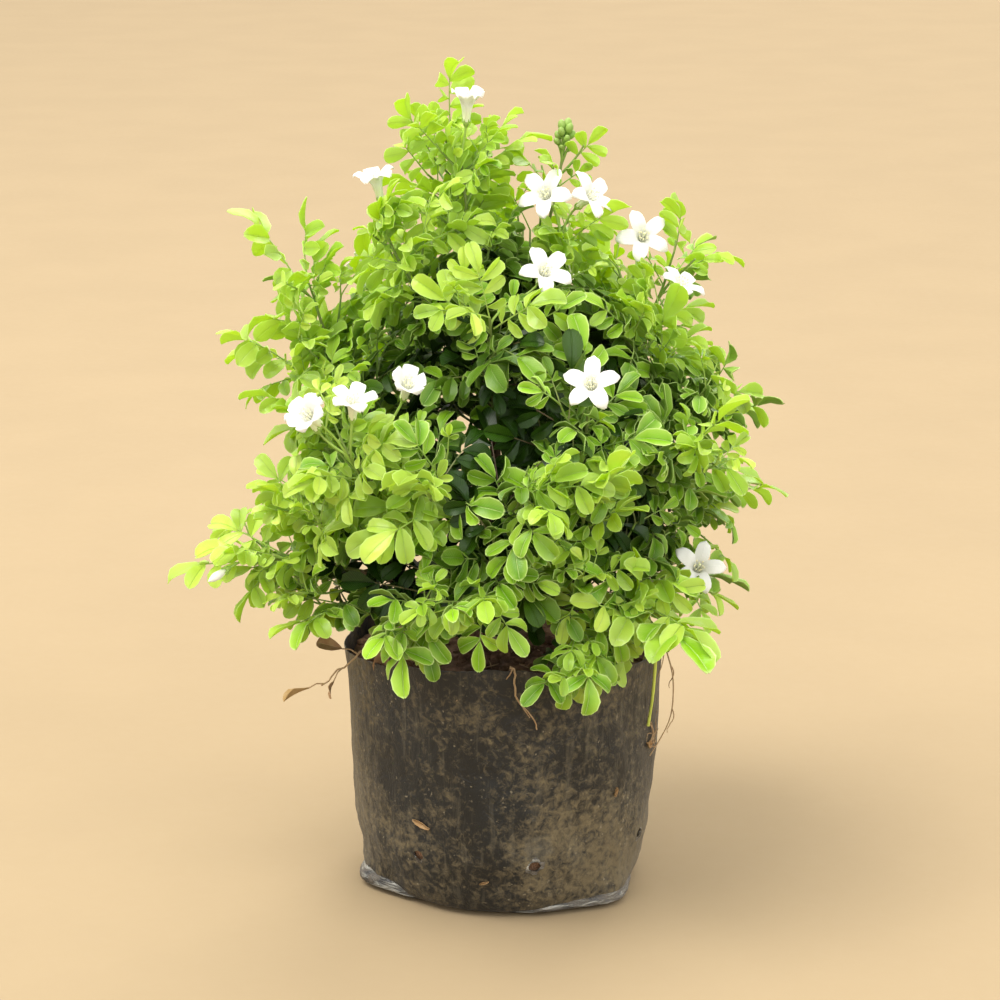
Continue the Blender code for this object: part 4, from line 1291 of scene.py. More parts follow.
def shoot_growth(name, shoot, templates, settings):
    """One leafy shoot: stem, twigs, leaves, flower stalks and buds."""
    line = shoot_curve(shoot)
    chance = random.Random(f"{name} foliage {SEED}")
    growth = Growth()
    start = wood_share(line)
    growth.rod(line, (start, 1.0), STEM_RADII, 14, 7, 0.55, chance.random())
    outer = solid_leaves(name, shoot, line)
    placed = []
    for sprig in SPRIGS.get(name, ()):
        placed += sprig_leaves(growth, Sprig(*sprig), line, chance)
    span = (start, 1.0 if shoot.tip_leaf else 0.90)
    sizes = [size * shoot.size for size in STEM_LEAVES]
    filling = leaves_along(line, span, chance, sizes, settings.spacing, shoot.age)
    sizes = [size * shoot.size for size in TWIG_LEAVES]
    step = settings.spacing * 0.85
    for curve in twig_curves(line, chance, settings.twig_spacing):
        if crown_depth(curve[3]) <= TWIG_EDGE:
            growth.rod(curve, (0.0, 1.0), TWIG_RADII, 7, 5, 0.45, chance.random())
            filling += leaves_along(curve, (0.25, 1.0), chance, sizes, step, shoot.age + 0.06)
    groups = ((outer, SOLID_LIMIT), (placed, PLACED_LIMIT), (filling, FILLING_LIMIT))
    for leaves, limit in groups:
        for leaf in leaves:
            middle = leaf.place @ Vector((leaf.length * 0.6, 0.0, 0.0))
            hollow = hollow_share(middle)
            top = smooth(*TOP_HEIGHTS, middle.z)
            left_out = leaves is not placed and (hollow == 1.0 or chance.random() < TOP_GAPS * top)
            if is_clear(leaf, limit) and not left_out:
                depth = crown_depth(middle)
                # Painted shade: leaves deep in the crown, less so in the airy top, and leaves in
                # its hollows are made older, so darker, duller and less see-through
                lit = smooth(*LIGHT_DEPTHS, depth + TOP_LIGHT * top)
                shade = settings.inner_shade * (1.0 - lit) + HOLLOW_SHADE * hollow
                blade = templates[0] if depth > FINE_DEPTH else templates[1]
                add_leaf(growth, blade, chance, leaf._replace(age=leaf.age + shade), settings)
    sisters = [flower for flower in [*FLOWERS.values(), WHITE_BUD] if flower.shoot == name]
    for order, flower in enumerate(sisters):
        add_stalk(growth, flower, order)
    if name == BUD_SHOOT:
        add_green_buds(growth, line)
    return growth


def dry_growth(template, settings):
    """The dead twig: a wiry bent stem and a few curled brown leaves."""
    line = shoot_curve(DRY_TWIG)
    chance = random.Random(SEED + 5)
    growth = Growth()
    points = points_between(line, wood_share(line), 1.0, DRY_POINTS)
    points = [point + shake(chance, 0.0007) for point in points]
    growth.tube(points, tapered(*DRY_RADII, DRY_POINTS), 6, 0.9)
    for share, bearing, rise, length in (
        (0.99, -62, -6, 0.012),
        (0.86, -30, -30, 0.009),
        (0.74, -88, 20, 0.011),
        (0.52, -20, -55, 0.013),
        (0.42, 12, -64, 0.012),
        (0.30, 30, -50, 0.014),
    ):
        spot = bezier(line, share)
        way = facing(bearing, rise)
        end = spot + way * 0.007
        stalk = [spot, (spot + end) / 2 + UP * 0.001, end]
        growth.tube(stalk, (0.0004, 0.0003, 0.0003), 5, 0.9)
        place = leaf_place(end, way, chance.uniform(-60, 60))
        add_leaflet(growth, template, chance, place, length, chance.uniform(0.2, 0.9), settings)
    return growth


def strand_line(strand):
    """The line over the rim and down the outside of the film."""
    rim = rim_height(strand.bearing)
    clear = strand.radius + SEAT_GAP * 2
    inner = BAG_SOLID_FILM + clear
    route = [
        (0.0, -inner * 1.6, rim - 0.006),
        (0.0, -inner, rim + clear - strand.radius),
        (0.0, -BAG_SOLID_FILM / 2, rim + clear),
        (0.0, clear, rim + clear - strand.radius),
    ]
    for share in (0.3, 0.65, 1.0):
        swing = clear + strand.swing * math.sin(math.pi * share)
        route.append((strand.drift * share, swing, rim - strand.drop * share))
    spots = [on_film(strand.bearing + drift, height, off) for drift, off, height in route]
    last = len(spots) - 1
    points = []
    for place in tapered(0.0, last, STRAND_POINTS):
        k = min(last - 1, int(place))
        before, after = spots[max(0, k - 1)], spots[min(last, k + 2)]
        a, b = spots[k], spots[k + 1]
        points.append(bezier([a, a + (b - before) / 6, b - (after - a) / 6, b], place - k))
    return points


def strand_growth(name, strand):
    """A root or stalk with its knots and, on a root, thinner forks."""
    growth = Growth()
    chance = random.Random(name)
    points = strand_line(strand)
    if strand.forks:
        for i in range(STRAND_FREE, STRAND_POINTS):
            bend = 0.0016 * math.sin((i - STRAND_FREE) * 0.42) + chance.uniform(-0.0003, 0.0003)
            points[i] = points[i] + UP.cross(outward(points[i])) * bend
    end = 0.45 if strand.forks else 0.8
    radii = tapered(strand.radius, strand.radius * end, STRAND_POINTS)
    radii = [radius * chance.uniform(0.88, 1.1) for radius in radii]
    growth.tube(points, radii, 7, 0.85, chance.random())
    for first, way, length in strand.forks:
        start = points[first]
        out = outward(start)
        drift = UP.cross(out) * way * 0.55 - UP
        fork = [
            start + drift * length * t + out * 0.0012 * math.sin(5 * t) + shake(chance, 0.0003) * t
            for t in tapered(0.0, 1.0, FORK_POINTS)
        ]
        growth.tube(fork, tapered(strand.radius * 0.6, 0.00015, FORK_POINTS), 5, 0.8)
    return growth


# Flowers


def petal_points(template, chance, openness, thickness):
    """One petal: wrapped round the tube below, spreading and recurved above."""
    share, across, under = template.along, template.across, template.under
    reach = np.interp(share, PETAL_SHARES, PETAL_REACHES)
    height = np.interp(share, PETAL_SHARES, PETAL_HEIGHTS)
    half = np.interp(share, PETAL_SHARES, PETAL_HALF_WIDTHS) * chance.uniform(0.94, 1.06)
    free = np.clip((share - PETAL_FREE) / (1.0 - PETAL_FREE), 0.0, 1.0)
    closed = 1.0 - min(1.0, openness)
    reach -= np.maximum(0.0, reach - PETAL_CLOSED_REACH) * closed * np.clip(free * 1.4, 0.0, 1.0)
    height += closed * (0.0052 * free - 0.0022 * free**4)
    height -= (0.0060 * max(0.0, openness - 1.0) - chance.uniform(-0.0010, 0.0008)) * free**2
    flat = np.clip((share - PETAL_FREE) / 0.22, 0.0, 1.0)
    flat = flat * flat * (3 - 2 * flat)
    angle = across * half / reach
    outer = reach + (0.00014 * across + thickness * under) * (1 - flat)
    x = (1 - flat) * outer * np.cos(angle) + flat * reach
    y = (1 - flat) * outer * np.sin(angle) + flat * across * half
    ripple = 0.0002 * np.sin(share * 14 + across * 2) - 0.0004 * across**2
    return np.column_stack((x, y, height + flat * (ripple - thickness * under)))


def bloom_growth(flower, seed, template, settings):
    """A five-petalled flower with its stamens and style."""
    chance = random.Random(seed)
    growth = Growth()
    axis, base, turn = flower.axis, flower.base, flower.turn
    size = settings.width / (2 * PETAL_REACHES[-1])
    first = chance.uniform(0, 360 / PETAL_COUNT)
    for i in range(PETAL_COUNT):
        points = petal_points(template, chance, flower.open, settings.petal_thickness) * size
        angle = math.radians(first + 360 / PETAL_COUNT * i + chance.uniform(-4, 4))
        points = points @ np.array(turn @ Matrix.Rotation(angle, 3, "Z")).T + np.array(base)
        growth.add(points, template.faces, template.blades, 0.5, chance.random())
    for i in range(STAMEN_COUNT):
        ring = at(first + STAMEN_TURN + 360 / STAMEN_COUNT * i, 1.0, 0.0)
        reach, top = (0.0021, 0.0108) if i % 2 else (0.0016, 0.0092)
        shape = ((0.0009, 0.002), (0.0013, 0.006), (reach, top))
        line = [base + turn @ ((ring * out + UP * rise) * size) for out, rise in shape]
        growth.tube(line, (0.00022, 0.00018, 0.00014), 5, 0.0, slot=1)
        tilt = (line[2] - line[1]).normalized()
        growth.ball(line[2], tilt, 0.00036, 1.5, 0.5, slot=2, rings=4, sides=6)
    style = [base + axis * rise for rise in (0.001, 0.007, 0.0118)]
    growth.tube(style, (0.0004, 0.0003, 0.0003), 6, 0.3, slot=1)
    growth.ball(style[2], axis, 0.00055, 0.8, 0.2, slot=3)
    return growth


def bud_growth(flower):
    """A closed white bud, its petals rolled round each other."""
    growth = Growth()
    points = []
    for share in tapered(0.0, 1.0, BUD_RINGS):
        swell = BUD_WIDTH / 2 * math.sin(math.pi * (0.08 + 0.90 * share)) ** 0.75
        for k in range(BUD_SIDES):
            angle = 2 * math.pi * k / BUD_SIDES
            radius = swell * (0.94 + 0.06 * abs(math.sin(2.5 * (angle + share * 1.6))))
            ray = Vector((radius * math.cos(angle), radius * math.sin(angle), BUD_LENGTH * share))
            points.append(flower.base + flower.turn @ ray)
    blades = ring_blades(BUD_RINGS, BUD_SIDES, 0.2)
    growth.add(points, ring_faces(BUD_RINGS, BUD_SIDES), blades, 0.5, 0.5)
    return growth


# Finishes


class Graph:
    """A node tree with short calls that add and wire its nodes."""

    def __init__(self, tree):
        self.tree = tree

    def wire(self, socket, value):
        """Links a socket to a node's output, or sets its number or colour."""
        if isinstance(value, bpy.types.NodeSocket):
            self.tree.links.new(value, socket)
        elif socket.type == "RGBA":
            socket.default_value = (*value[:3], 1.0)
        else:
            socket.default_value = value

    def add(self, kind, settings=None, **inputs):
        made = self.tree.nodes.new("ShaderNode" + kind)
        for name, value in (settings or {}).items():
            setattr(made, name, value)
        for name, value in inputs.items():
            self.wire(made.inputs[name.replace("_", " ")], value)
        return made

    def work(self, kind, operation, *values):
        made = self.add(kind, {"operation": operation})
        for socket, value in zip(made.inputs, values):
            self.wire(socket, value)
        return made.outputs

    def math(self, operation, *values):
        return self.work("Math", operation, *values)[0]

    def times(self, a, b):
        return self.math("MULTIPLY", a, b)

    def plus(self, a, b):
        return self.math("ADD", a, b)

    def mix(self, share, a, b):
        made = self.add("Mix", {"data_type": "RGBA"})
        for place, value in ((0, share), (6, a), (7, b)):
            self.wire(made.inputs[place], value)
        return made.outputs[2]

    def laid(self, colour, tint, mask, share):
        """A colour with a share of a tint laid over it where the mask is."""
        return self.mix(self.times(mask, share), colour, tint)

    def step(self, value, low, high, first=0.0, last=1.0):
        """A smooth step of value from low to high, as a number from first to last."""
        limits = {"From_Min": low, "From_Max": high, "To_Min": first, "To_Max": last}
        kind = {"interpolation_type": "SMOOTHSTEP"}
        return self.add("MapRange", kind, Value=value, **limits).outputs["Result"]

    def noise(self, place, scale, detail=4.0, roughness=0.55, distortion=0.0):
        shape = {"Detail": detail, "Roughness": roughness, "Distortion": distortion}
        return self.add("TexNoise", Vector=place, Scale=scale, **shape).outputs["Fac"]

    def stretched(self, place, scale):
        return self.add("Mapping", Vector=place, Scale=scale).outputs["Vector"]

    def place(self):
        """Where on the object a point is."""
        return self.add("TexCoord").outputs["Object"]

    def apart(self, vector):
        return self.add("SeparateXYZ", Vector=vector).outputs

    def ramp(self, value, *stops):
        """A colour ramp through (place, colour) stops."""
        made = self.add("ValToRGB", Fac=value)
        elements = made.color_ramp.elements
        for _ in stops[2:]:
            elements.new(0.5)
        for element, (place, colour) in zip(elements, stops):
            element.position = place
            element.color = (*colour, 1.0)
        return made.outputs["Color"]

    def group(self, name, **inputs):
        """The outputs of an effect's node group, which is built when it is first used."""
        tree = bpy.data.node_groups.get(name)
        if not tree:
            tree = bpy.data.node_groups.new(name, "ShaderNodeTree")
            effect, defaults = EFFECTS[name]
            for key, value in defaults.items():
                made = tree.interface.new_socket(key, socket_type="NodeSocketFloat")
                made.default_value = value
            graph = Graph(tree)
            results = effect(graph, tree.nodes.new("NodeGroupInput").outputs)
            for key in results:
                tree.interface.new_socket(key, in_out="OUTPUT", socket_type="NodeSocketFloat")
            out = tree.nodes.new("NodeGroupOutput").inputs
            for key, value in results.items():
                graph.wire(out[key], value)
        return self.add("Group", {"node_tree": tree}, **inputs).outputs


def blade_marks(graph, given):
    """Where the midrib, margin, veins and underside of a leaf are, with its age and chance; the
    band towards its rim is for a painted highlight, and for leaves the age carries painted shade.
    """
    blade = graph.apart(graph.add("Attribute", {"attribute_name": "blade"}).outputs["Vector"])
    tone = graph.apart(graph.add("Attribute", {"attribute_name": "tone"}).outputs["Vector"])
    across = graph.math("ABSOLUTE", blade["Y"])
    slant = graph.math("SUBTRACT", blade["X"], graph.times(across, 0.22))
    turns = graph.times(graph.times(slant, given["Vein Count"]), 6.2832)
    veins = graph.math("ABSOLUTE", graph.math("SINE", turns))
    side = graph.step(across, 0.84, 0.96)
    tip = graph.step(blade["X"], 0.93, 0.985)
    return {
        "Along": blade["X"],
        "Midrib": graph.step(across, 0.02, 0.09, 1.0, 0.0),
        "Rim highlight": graph.step(across, 0.10, 1.0),
        "Margin": graph.math("MAXIMUM", side, tip),
        "Veins": graph.step(veins, 0.0, 0.35, 1.0, 0.0),
        "Underside": blade["Z"],
        "Age": tone["X"],
        "Chance": tone["Y"],
    }


def mottle(graph, given):
    """Soft uneven shading over a surface, from 0 to 1, and a fine height with it."""
    scale = graph.add("CombineXYZ", X=1.0, Y=1.0, Z=given["Stretch"]).outputs["Vector"]
    place = graph.work("VectorMath", "MULTIPLY", graph.place(), scale)["Vector"]
    return {
        "Shade": graph.step(graph.noise(place, given["Scale"]), 0.3, 0.7),
        "Grain": graph.noise(place, given["Fine Scale"], 3.0),
    }


def settled_dust_and_edge_sheen(graph, given):
    """Where mud, dust streaks and specks lie on film: more low down, towards +X, and in a band at
    -X that is partly dust and partly a painted sheen on the bag's left edge.
    """
    spot = graph.place()
    place = graph.apart(spot)
    low = graph.step(place["Z"], 0.0, 0.080, 0.08, 0.0)
    right = graph.step(place["X"], -0.01, 0.062, 0.0, 0.09)
    # Partly dust, partly a painted sheen: a pale band along the bag's left edge
    left = graph.step(place["X"], -0.066, -0.042, 0.15, 0.0)
    reach = graph.plus(graph.plus(low, right), left)
    wide = graph.noise(spot, 22.0, 2.0)
    patches = graph.noise(spot, given["Patch Scale"], 6.0, 0.68, 0.5)
    height = graph.plus(graph.times(wide, 0.45), graph.times(patches, 0.75))
    dust = graph.step(graph.plus(height, reach), 0.60, 0.84)
    standing = graph.stretched(spot, (1.0, 1.0, 0.10))
    streaks = graph.noise(standing, given["Patch Scale"], 4.0, 0.6, 0.3)
    streaks = graph.step(graph.plus(streaks, graph.times(reach, 0.5)), 0.56, 0.72)
    specks = graph.noise(spot, given["Speck Scale"], 1.0, 0.4)
    specks = graph.step(graph.plus(specks, graph.times(reach, 0.30)), 0.68, 0.80)
    strewn = graph.step(graph.noise(spot, 60.0, 3.0), 0.46, 0.60)
    return {
        "Dust": graph.times(dust, given["Amount"]),
        "Streaks": graph.times(streaks, given["Amount"]),
        "Specks": graph.times(specks, strewn),
    }


EFFECTS = {
    "blade marks": (blade_marks, {"Vein Count": 7.0}),
    "mottle": (mottle, {"Scale": 40.0, "Fine Scale": 400.0, "Stretch": 1.0}),
    "settled dust and edge sheen": (settled_dust_and_edge_sheen, {"Amount": 0.5, "Patch Scale": 150.0, "Speck Scale": 900.0}),
}


class Finish(Graph):
    """A new material, its Principled shader set to these constants, and its graph."""

    def __init__(self, name, **constants):
        self.made = bpy.data.materials.new(name)
        self.made.use_nodes = True
        super().__init__(self.made.node_tree)
        self.shader = self.tree.nodes["Principled BSDF"]
        for key, value in constants.items():
            self.wire(self.shader.inputs[key.replace("_", " ")], value)

    def marks(self, veins=0.0):
        return self.group("blade marks", Vein_Count=veins)

    def mottle(self, scale, fine_scale, stretch=1.0):
        return self.group("mottle", Scale=scale, Fine_Scale=fine_scale, Stretch=stretch)

    def dulled(self, shade, low, high):
        """A roughness from low to high by a mottle's grain."""
        return self.step(shade["Grain"], 0.2, 0.8, low, high)

    def see_through(self, colour, share):
        """Mixes a Translucent shader in, for light that comes through a thin blade."""
        glow = self.add("BsdfTranslucent", Color=colour)
        mixed = self.add("MixShader", Fac=share)
        self.wire(mixed.inputs[1], self.shader.outputs[0])
        self.wire(mixed.inputs[2], glow.outputs[0])
        self.wire(self.tree.nodes["Material Output"].inputs["Surface"], mixed.outputs[0])

    def done(self, colour, roughness, height=None, distance=0.0, strength=1.0):
        """The material, its colour and roughness wired, with bumps this many metres high."""
        self.wire(self.shader.inputs["Base Color"], colour)
        self.wire(self.shader.inputs["Roughness"], roughness)
        if height:
            bump = self.add("Bump", Height=height, Distance=distance, Strength=strength)
            self.wire(self.shader.inputs["Normal"], bump.outputs["Normal"])
        return self.made


def leaf_finish(name, settings, gloss, glow, share):
    """Glossy leaf: yellow-green when young, darker with age and with painted shade deep in the
    crown, with a pale midrib and margin and a painted highlight towards the rim.
    """
    made = Finish(name, Specular_IOR_Level=gloss)
    marks = made.marks(7.0)
    shade = made.mottle(90.0, 900.0)
    young, mature, old_and_shaded = settings.young[:], settings.mature[:], settings.old_and_shaded[:]
    middle = tuple((a + b) / 2 for a, b in zip(young, mature))
    colour = made.ramp(marks["Age"], (0.0, young), (0.30, middle), (0.55, mature), (1.0, old_and_shaded))
    bright = made.step(marks["Chance"], 0.0, 1.0, 0.74, 1.22)
    hue = made.step(marks["Chance"], 0.0, 1.0, 0.507, 0.492)
    colour = made.add("HueSaturation", Color=colour, Value=bright, Hue=hue).outputs["Color"]
    colour = made.laid(colour, (0.06, 0.16, 0.004), shade["Shade"], 0.18)
    colour = made.laid(colour, (0.50, 0.72, 0.16), marks["Veins"], 0.06)
    # The pale marks fade on aged leaves and on those given painted shade
    lit = made.step(marks["Age"], 0.55, 1.0, 1.0, 0.0)
    # Painted highlight: a broad paler band towards the rim, for light on the cupped blade's raised
    # edges
    colour = made.laid(colour, (0.58, 0.77, 0.15), made.times(marks["Rim highlight"], 0.30), lit)
    midrib, margin = made.times(marks["Midrib"], 0.40), made.times(marks["Margin"], 0.58)
    colour = made.laid(colour, settings.margin[:], made.math("MAXIMUM", margin, midrib), lit)
    colour = made.laid(colour, (0.30, 0.47, 0.12), made.times(marks["Underside"], 0.38), lit)
    rough = made.step(marks["Underside"], 0.0, 1.0, 0.25, 0.52)
    rough = made.plus(rough, made.times(shade["Grain"], 0.12))
    height = made.plus(made.times(marks["Veins"], 0.25), marks["Midrib"])
    height = made.math("SUBTRACT", made.times(shade["Grain"], 0.35), height)
    made.see_through(glow, share)
    return made.done(colour, rough, height, 0.00024, 0.9)


def stem_finish(name):
    """Green stem, purple-brown where it is older."""
    made = Finish(name, Specular_IOR_Level=0.4)
    shade = made.mottle(160.0, 1200.0, 0.4)
    green, olive, brown = (0.36, 0.54, 0.10), (0.20, 0.36, 0.06), (0.15, 0.13, 0.06)
    stops = (0.0, green), (0.4, olive), (0.75, brown), (1.0, (0.12, 0.08, 0.05))
    colour = made.ramp(made.marks()["Age"], *stops)
    colour = made.laid(colour, (0.16, 0.09, 0.05), shade["Shade"], 0.3)
    return made.done(colour, made.dulled(shade, 0.42, 0.62), shade["Grain"], 0.0001)


def bark_finish(name):
    """Thin brown-grey bark with pale pores and fine upright cracks."""
    made = Finish(name, Specular_IOR_Level=0.2)
    shade = made.mottle(120.0, 900.0, 0.18)
    pores = made.mottle(700.0, 1400.0)
    dark, brown, pale = (0.10, 0.065, 0.035), (0.20, 0.14, 0.085), (0.33, 0.26, 0.18)
    colour = made.ramp(shade["Shade"], (0.0, dark), (0.5, brown), (1.0, pale))
    spots = made.step(pores["Shade"], 0.86, 1.0)
    colour = made.laid(colour, (0.45, 0.38, 0.28), spots, 0.5)
    height = made.plus(made.times(shade["Shade"], 0.6), shade["Grain"])
    return made.done(colour, made.dulled(shade, 0.72, 0.92), height, 0.0004)


def dry_finish(name):
    """Dead leaf, twig and root: tan to brown, dull."""
    made = Finish(name, Specular_IOR_Level=0.15)
    marks = made.marks(6.0)
    shade = made.mottle(260.0, 1500.0, 0.7)
    straw, tan, brown = (0.34, 0.27, 0.06), (0.33, 0.19, 0.09), (0.20, 0.11, 0.055)
    colour = made.ramp(marks["Age"], (0.0, straw), (0.5, tan), (1.0, brown))
    colour = made.laid(colour, (0.42, 0.30, 0.17), shade["Shade"], 0.45)
    colour = made.laid(colour, (0.50, 0.38, 0.22), marks["Midrib"], 0.3)
    height = made.plus(shade["Grain"], made.times(marks["Veins"], 0.6))
    return made.done(colour, made.dulled(shade, 0.70, 0.95), height, 0.0002)


def film_finish(name, settings):
    """Black polythene film: mud in fine mottles, pale dust in streaks, and a fine crinkle; the
    pale at its left edge is partly a painted sheen.
    """
    made = Finish(name, Specular_IOR_Level=0.38, Sheen_Weight=0.05, Sheen_Roughness=0.4)
    spot = made.place()
    dust = made.group("settled dust and edge sheen", Amount=0.95, Patch_Scale=290.0, Speck_Scale=620.0)
    shade = made.mottle(30.0, 420.0)
    black, brown = settings.film_colour[:], settings.dust_colour[:]
    colour = made.laid(black, (0.010, 0.013, 0.016), shade["Shade"], 0.6)
    mud = made.mix(shade["Grain"], brown, [value * 0.45 for value in brown])
    colour = made.mix(dust["Dust"], colour, mud)
    colour = made.laid(colour, (0.15, 0.13, 0.088), dust["Streaks"], 0.22)
    colour = made.laid(colour, (0.27, 0.23, 0.155), dust["Specks"], 0.55)
    stain = made.times(drain_stain(made, spot), shade["Shade"])
    colour = made.laid(colour, (0.22, 0.20, 0.15), stain, 0.6)
    rough = made.step(dust["Dust"], 0.0, 0.8, 0.40, 0.80)
    rough = made.plus(rough, made.times(shade["Grain"], 0.10))
    crinkle = made.noise(made.stretched(spot, (1.0, 1.0, 0.5)), 110.0, 5.0, 0.6, 1.4)
    ridges = made.math("ABSOLUTE", made.math("SUBTRACT", crinkle, 0.5))
    height = made.plus(made.times(ridges, -2.0), made.times(dust["Dust"], 0.12))
    height = made.plus(height, made.times(shade["Grain"], 0.10))
    return made.done(colour, rough, height, 0.0008, 0.8)


def drain_stain(graph, spot):
    """1 at the mud stain over the front drain hole, and 0 away from it."""
    place = at(DRAIN_BEARINGS[1] + 2.0, wall_reach(STAIN_HEIGHT), STAIN_HEIGHT)
    away = graph.work("VectorMath", "DISTANCE", spot, place)["Value"]
    ragged = graph.times(graph.noise(spot, 260.0, 4.0, 0.7), 0.012)
    return graph.step(graph.plus(away, ragged), 0.008, 0.014, 1.0, 0.0)


def flap_finish(name):
    """The folded corners of the film: worn pale on their folds, black between."""
    made = Finish(name, Specular_IOR_Level=0.5)
    # The dust is partly a painted sheen towards the left edge, as on the film
    dust = made.group("settled dust and edge sheen", Amount=0.7, Patch_Scale=300.0, Speck_Scale=1100.0)["Dust"]
    shade = made.mottle(90.0, 600.0)
    worn = made.noise(made.stretched(made.place(), (0.35, 0.35, 2.2)), 260.0, 5.0, 0.6, 0.8)
    worn = made.step(worn, 0.44, 0.64)
    colour = made.mix(worn, (0.020, 0.020, 0.021), (0.30, 0.30, 0.27))
    colour = made.laid(colour, (0.20, 0.165, 0.12), dust, 0.7)
    rough = made.step(dust, 0.0, 0.8, 0.32, 0.7)
    return made.done(colour, rough, made.plus(worn, shade["Grain"]), 0.0005)


def soil_finish(name, settings):
    """Crumbly reddish-brown earth, darker and paler in an uneven mottle."""
    made = Finish(name, Specular_IOR_Level=0.15)
    marks = made.mottle(70.0, 900.0)
    fine = made.mottle(420.0, 1900.0)
    brown = settings.soil_colour[:]
    dark = [value * 0.42 for value in brown]
    pale = [min(1.0, value * 1.7) for value in brown]
    colour = made.ramp(marks["Shade"], (0.0, dark), (0.55, brown), (1.0, pale))
    colour = made.laid(colour, dark, fine["Shade"], 0.4)
    height = made.plus(marks["Grain"], made.times(fine["Grain"], 0.7))
    return made.done(colour, made.dulled(marks, 0.86, 1.0), height, 0.0007)


def petal_finish(name, settings):
    """Soft waxy white petal, greenish yellow down in the throat."""
    made = Finish(name, Specular_IOR_Level=0.35)
    marks = made.marks()
    shade = made.mottle(220.0, 1500.0)
    throat = made.step(marks["Along"], 0.10, 0.50, 1.0, 0.0)
    colour = made.mix(throat, settings.petal[:], settings.throat[:])
    colour = made.laid(colour, (0.80, 0.82, 0.74), shade["Shade"], 0.10)
    height = made.plus(made.times(marks["Midrib"], 0.5), shade["Grain"])
    made.see_through((0.84, 0.86, 0.74), 0.25)
    return made.done(colour, made.dulled(shade, 0.42, 0.58), height, 0.00012)


def plain_finish(name, first, second, rough, scales=(600.0, 2500.0), gloss=0.3):
    """A small plain thing's finish: two colours in a fine mottle."""
    made = Finish(name, Specular_IOR_Level=gloss)
    shade = made.mottle(*scales)
    colour = made.mix(shade["Shade"], first, second)
    return made.done(colour, made.dulled(shade, *rough), shade["Grain"], 0.0001)


def floor_finish(name, settings):
    """Plain pale floor."""
    made = Finish(name, Specular_IOR_Level=0.1)
    shade = made.mottle(9.0, 160.0)
    pale = settings.floor_colour[:]
    colour = made.mix(shade["Shade"], pale, [value * 0.965 for value in pale])
    return made.done(colour, made.dulled(shade, 0.82, 0.95))


def finish(name, maker, *details):
    """The finish of this name, made the first time that it is asked for."""
    return bpy.data.materials.get(name) or maker(name, *details)


# Settings


def as_length(name, description, default, least=0.0):
    return FloatProperty(
        name=name, description=description, default=default, min=least, unit="LENGTH"
    )


def as_share(name, description, default, least=0.0):
    return FloatProperty(name=name, description=description, default=default, min=least, max=1.0)


def as_colour(name, description, *default):
    return FloatVectorProperty(
        name=name, description=description, default=default, subtype="COLOR"
    )


class BagSettings(bpy.types.PropertyGroup):
    """The film bag."""

    thickness: as_length("Film", "Thickness of the film", 0.0003, 0.0001)
    crease: as_length("Creases", "Depth of the film's creases", 0.00042)
    drain: as_length("Drain holes", "Radius of a drain hole", 0.0027)
    film_colour: as_colour("Film colour", "Colour of the clean film", 0.008, 0.008, 0.0075)
    dust_colour: as_colour("Dust colour", "Colour of the dust on it", 0.180, 0.142, 0.078)


class SoilSettings(bpy.types.PropertyGroup):
    """The earth in the bag."""

    soil_colour: as_colour("Earth", "Colour of the dry earth", 0.20, 0.115, 0.068)


class LeafSettings(bpy.types.PropertyGroup):
    """The foliage."""

    thickness: as_length("Thickness", "Thickness of a leaflet", 0.00024, 0.0001)
    breadth: as_share("Breadth", "Breadth of a leaflet as a share of its length", 0.52, 0.2)
    spacing: as_length("Leaf spacing", "Distance between leaves on a stem", 0.0062, 0.003)
    twig_spacing: as_length("Twig spacing", "Distance between side twigs", 0.013, 0.005)
    # Painted shade: how much older, so darker, leaves deep in the crown are made
    inner_shade: as_share("Inner age", "How much older leaves deep in the crown are", 0.70)
    glow: as_share("Glow", "Share of light that goes through a blade", 0.50)
    young: as_colour("Young leaf", "Colour of the youngest leaves", 0.65, 0.80, 0.14)
    mature: as_colour("Mature leaf", "Colour of grown leaves", 0.21, 0.46, 0.008)
    # Also the colour of leaves given full painted shade deep in the crown
    old_and_shaded: as_colour("Old leaf", "Colour of the oldest leaves", 0.009, 0.036, 0.001)
    margin: as_colour("Margin", "Colour of the margin and midrib", 0.66, 0.82, 0.32)


class FlowerSettings(bpy.types.PropertyGroup):
    """The flowers."""

    width: as_length("Width", "Distance across an open flower", 0.0232, 0.01)
    petal_thickness: as_length("Petal thickness", "Thickness of a petal", 0.00028, 0.0001)
    petal: as_colour("Petal", "Colour of the petals", 0.86, 0.86, 0.845)
    throat: as_colour("Throat", "Colour down in the tube", 0.90, 0.94, 0.66)


class StageSettings(bpy.types.PropertyGroup):
    """Floor, light and camera."""

    floor_colour: as_colour("Floor", "Colour of the floor", 0.322, 0.245, 0.147)
    key_power: FloatProperty(
        name="Key light", description="Power of the large light overhead",
        default=40.0, min=0.0, unit="POWER",
    )
    sky: FloatProperty(
        name="Sky", description="Strength of the light from all round", default=1.55, min=0.0
    )
    lens: FloatProperty(
        name="Lens", description="Focal length of the camera in millimetres", default=102.08,
        min=1.0, unit="CAMERA",
    )


# Operators


class JasmineOperator(bpy.types.Operator):
    """What every step of the build shares"""

    bl_options = {"REGISTER", "UNDO"}


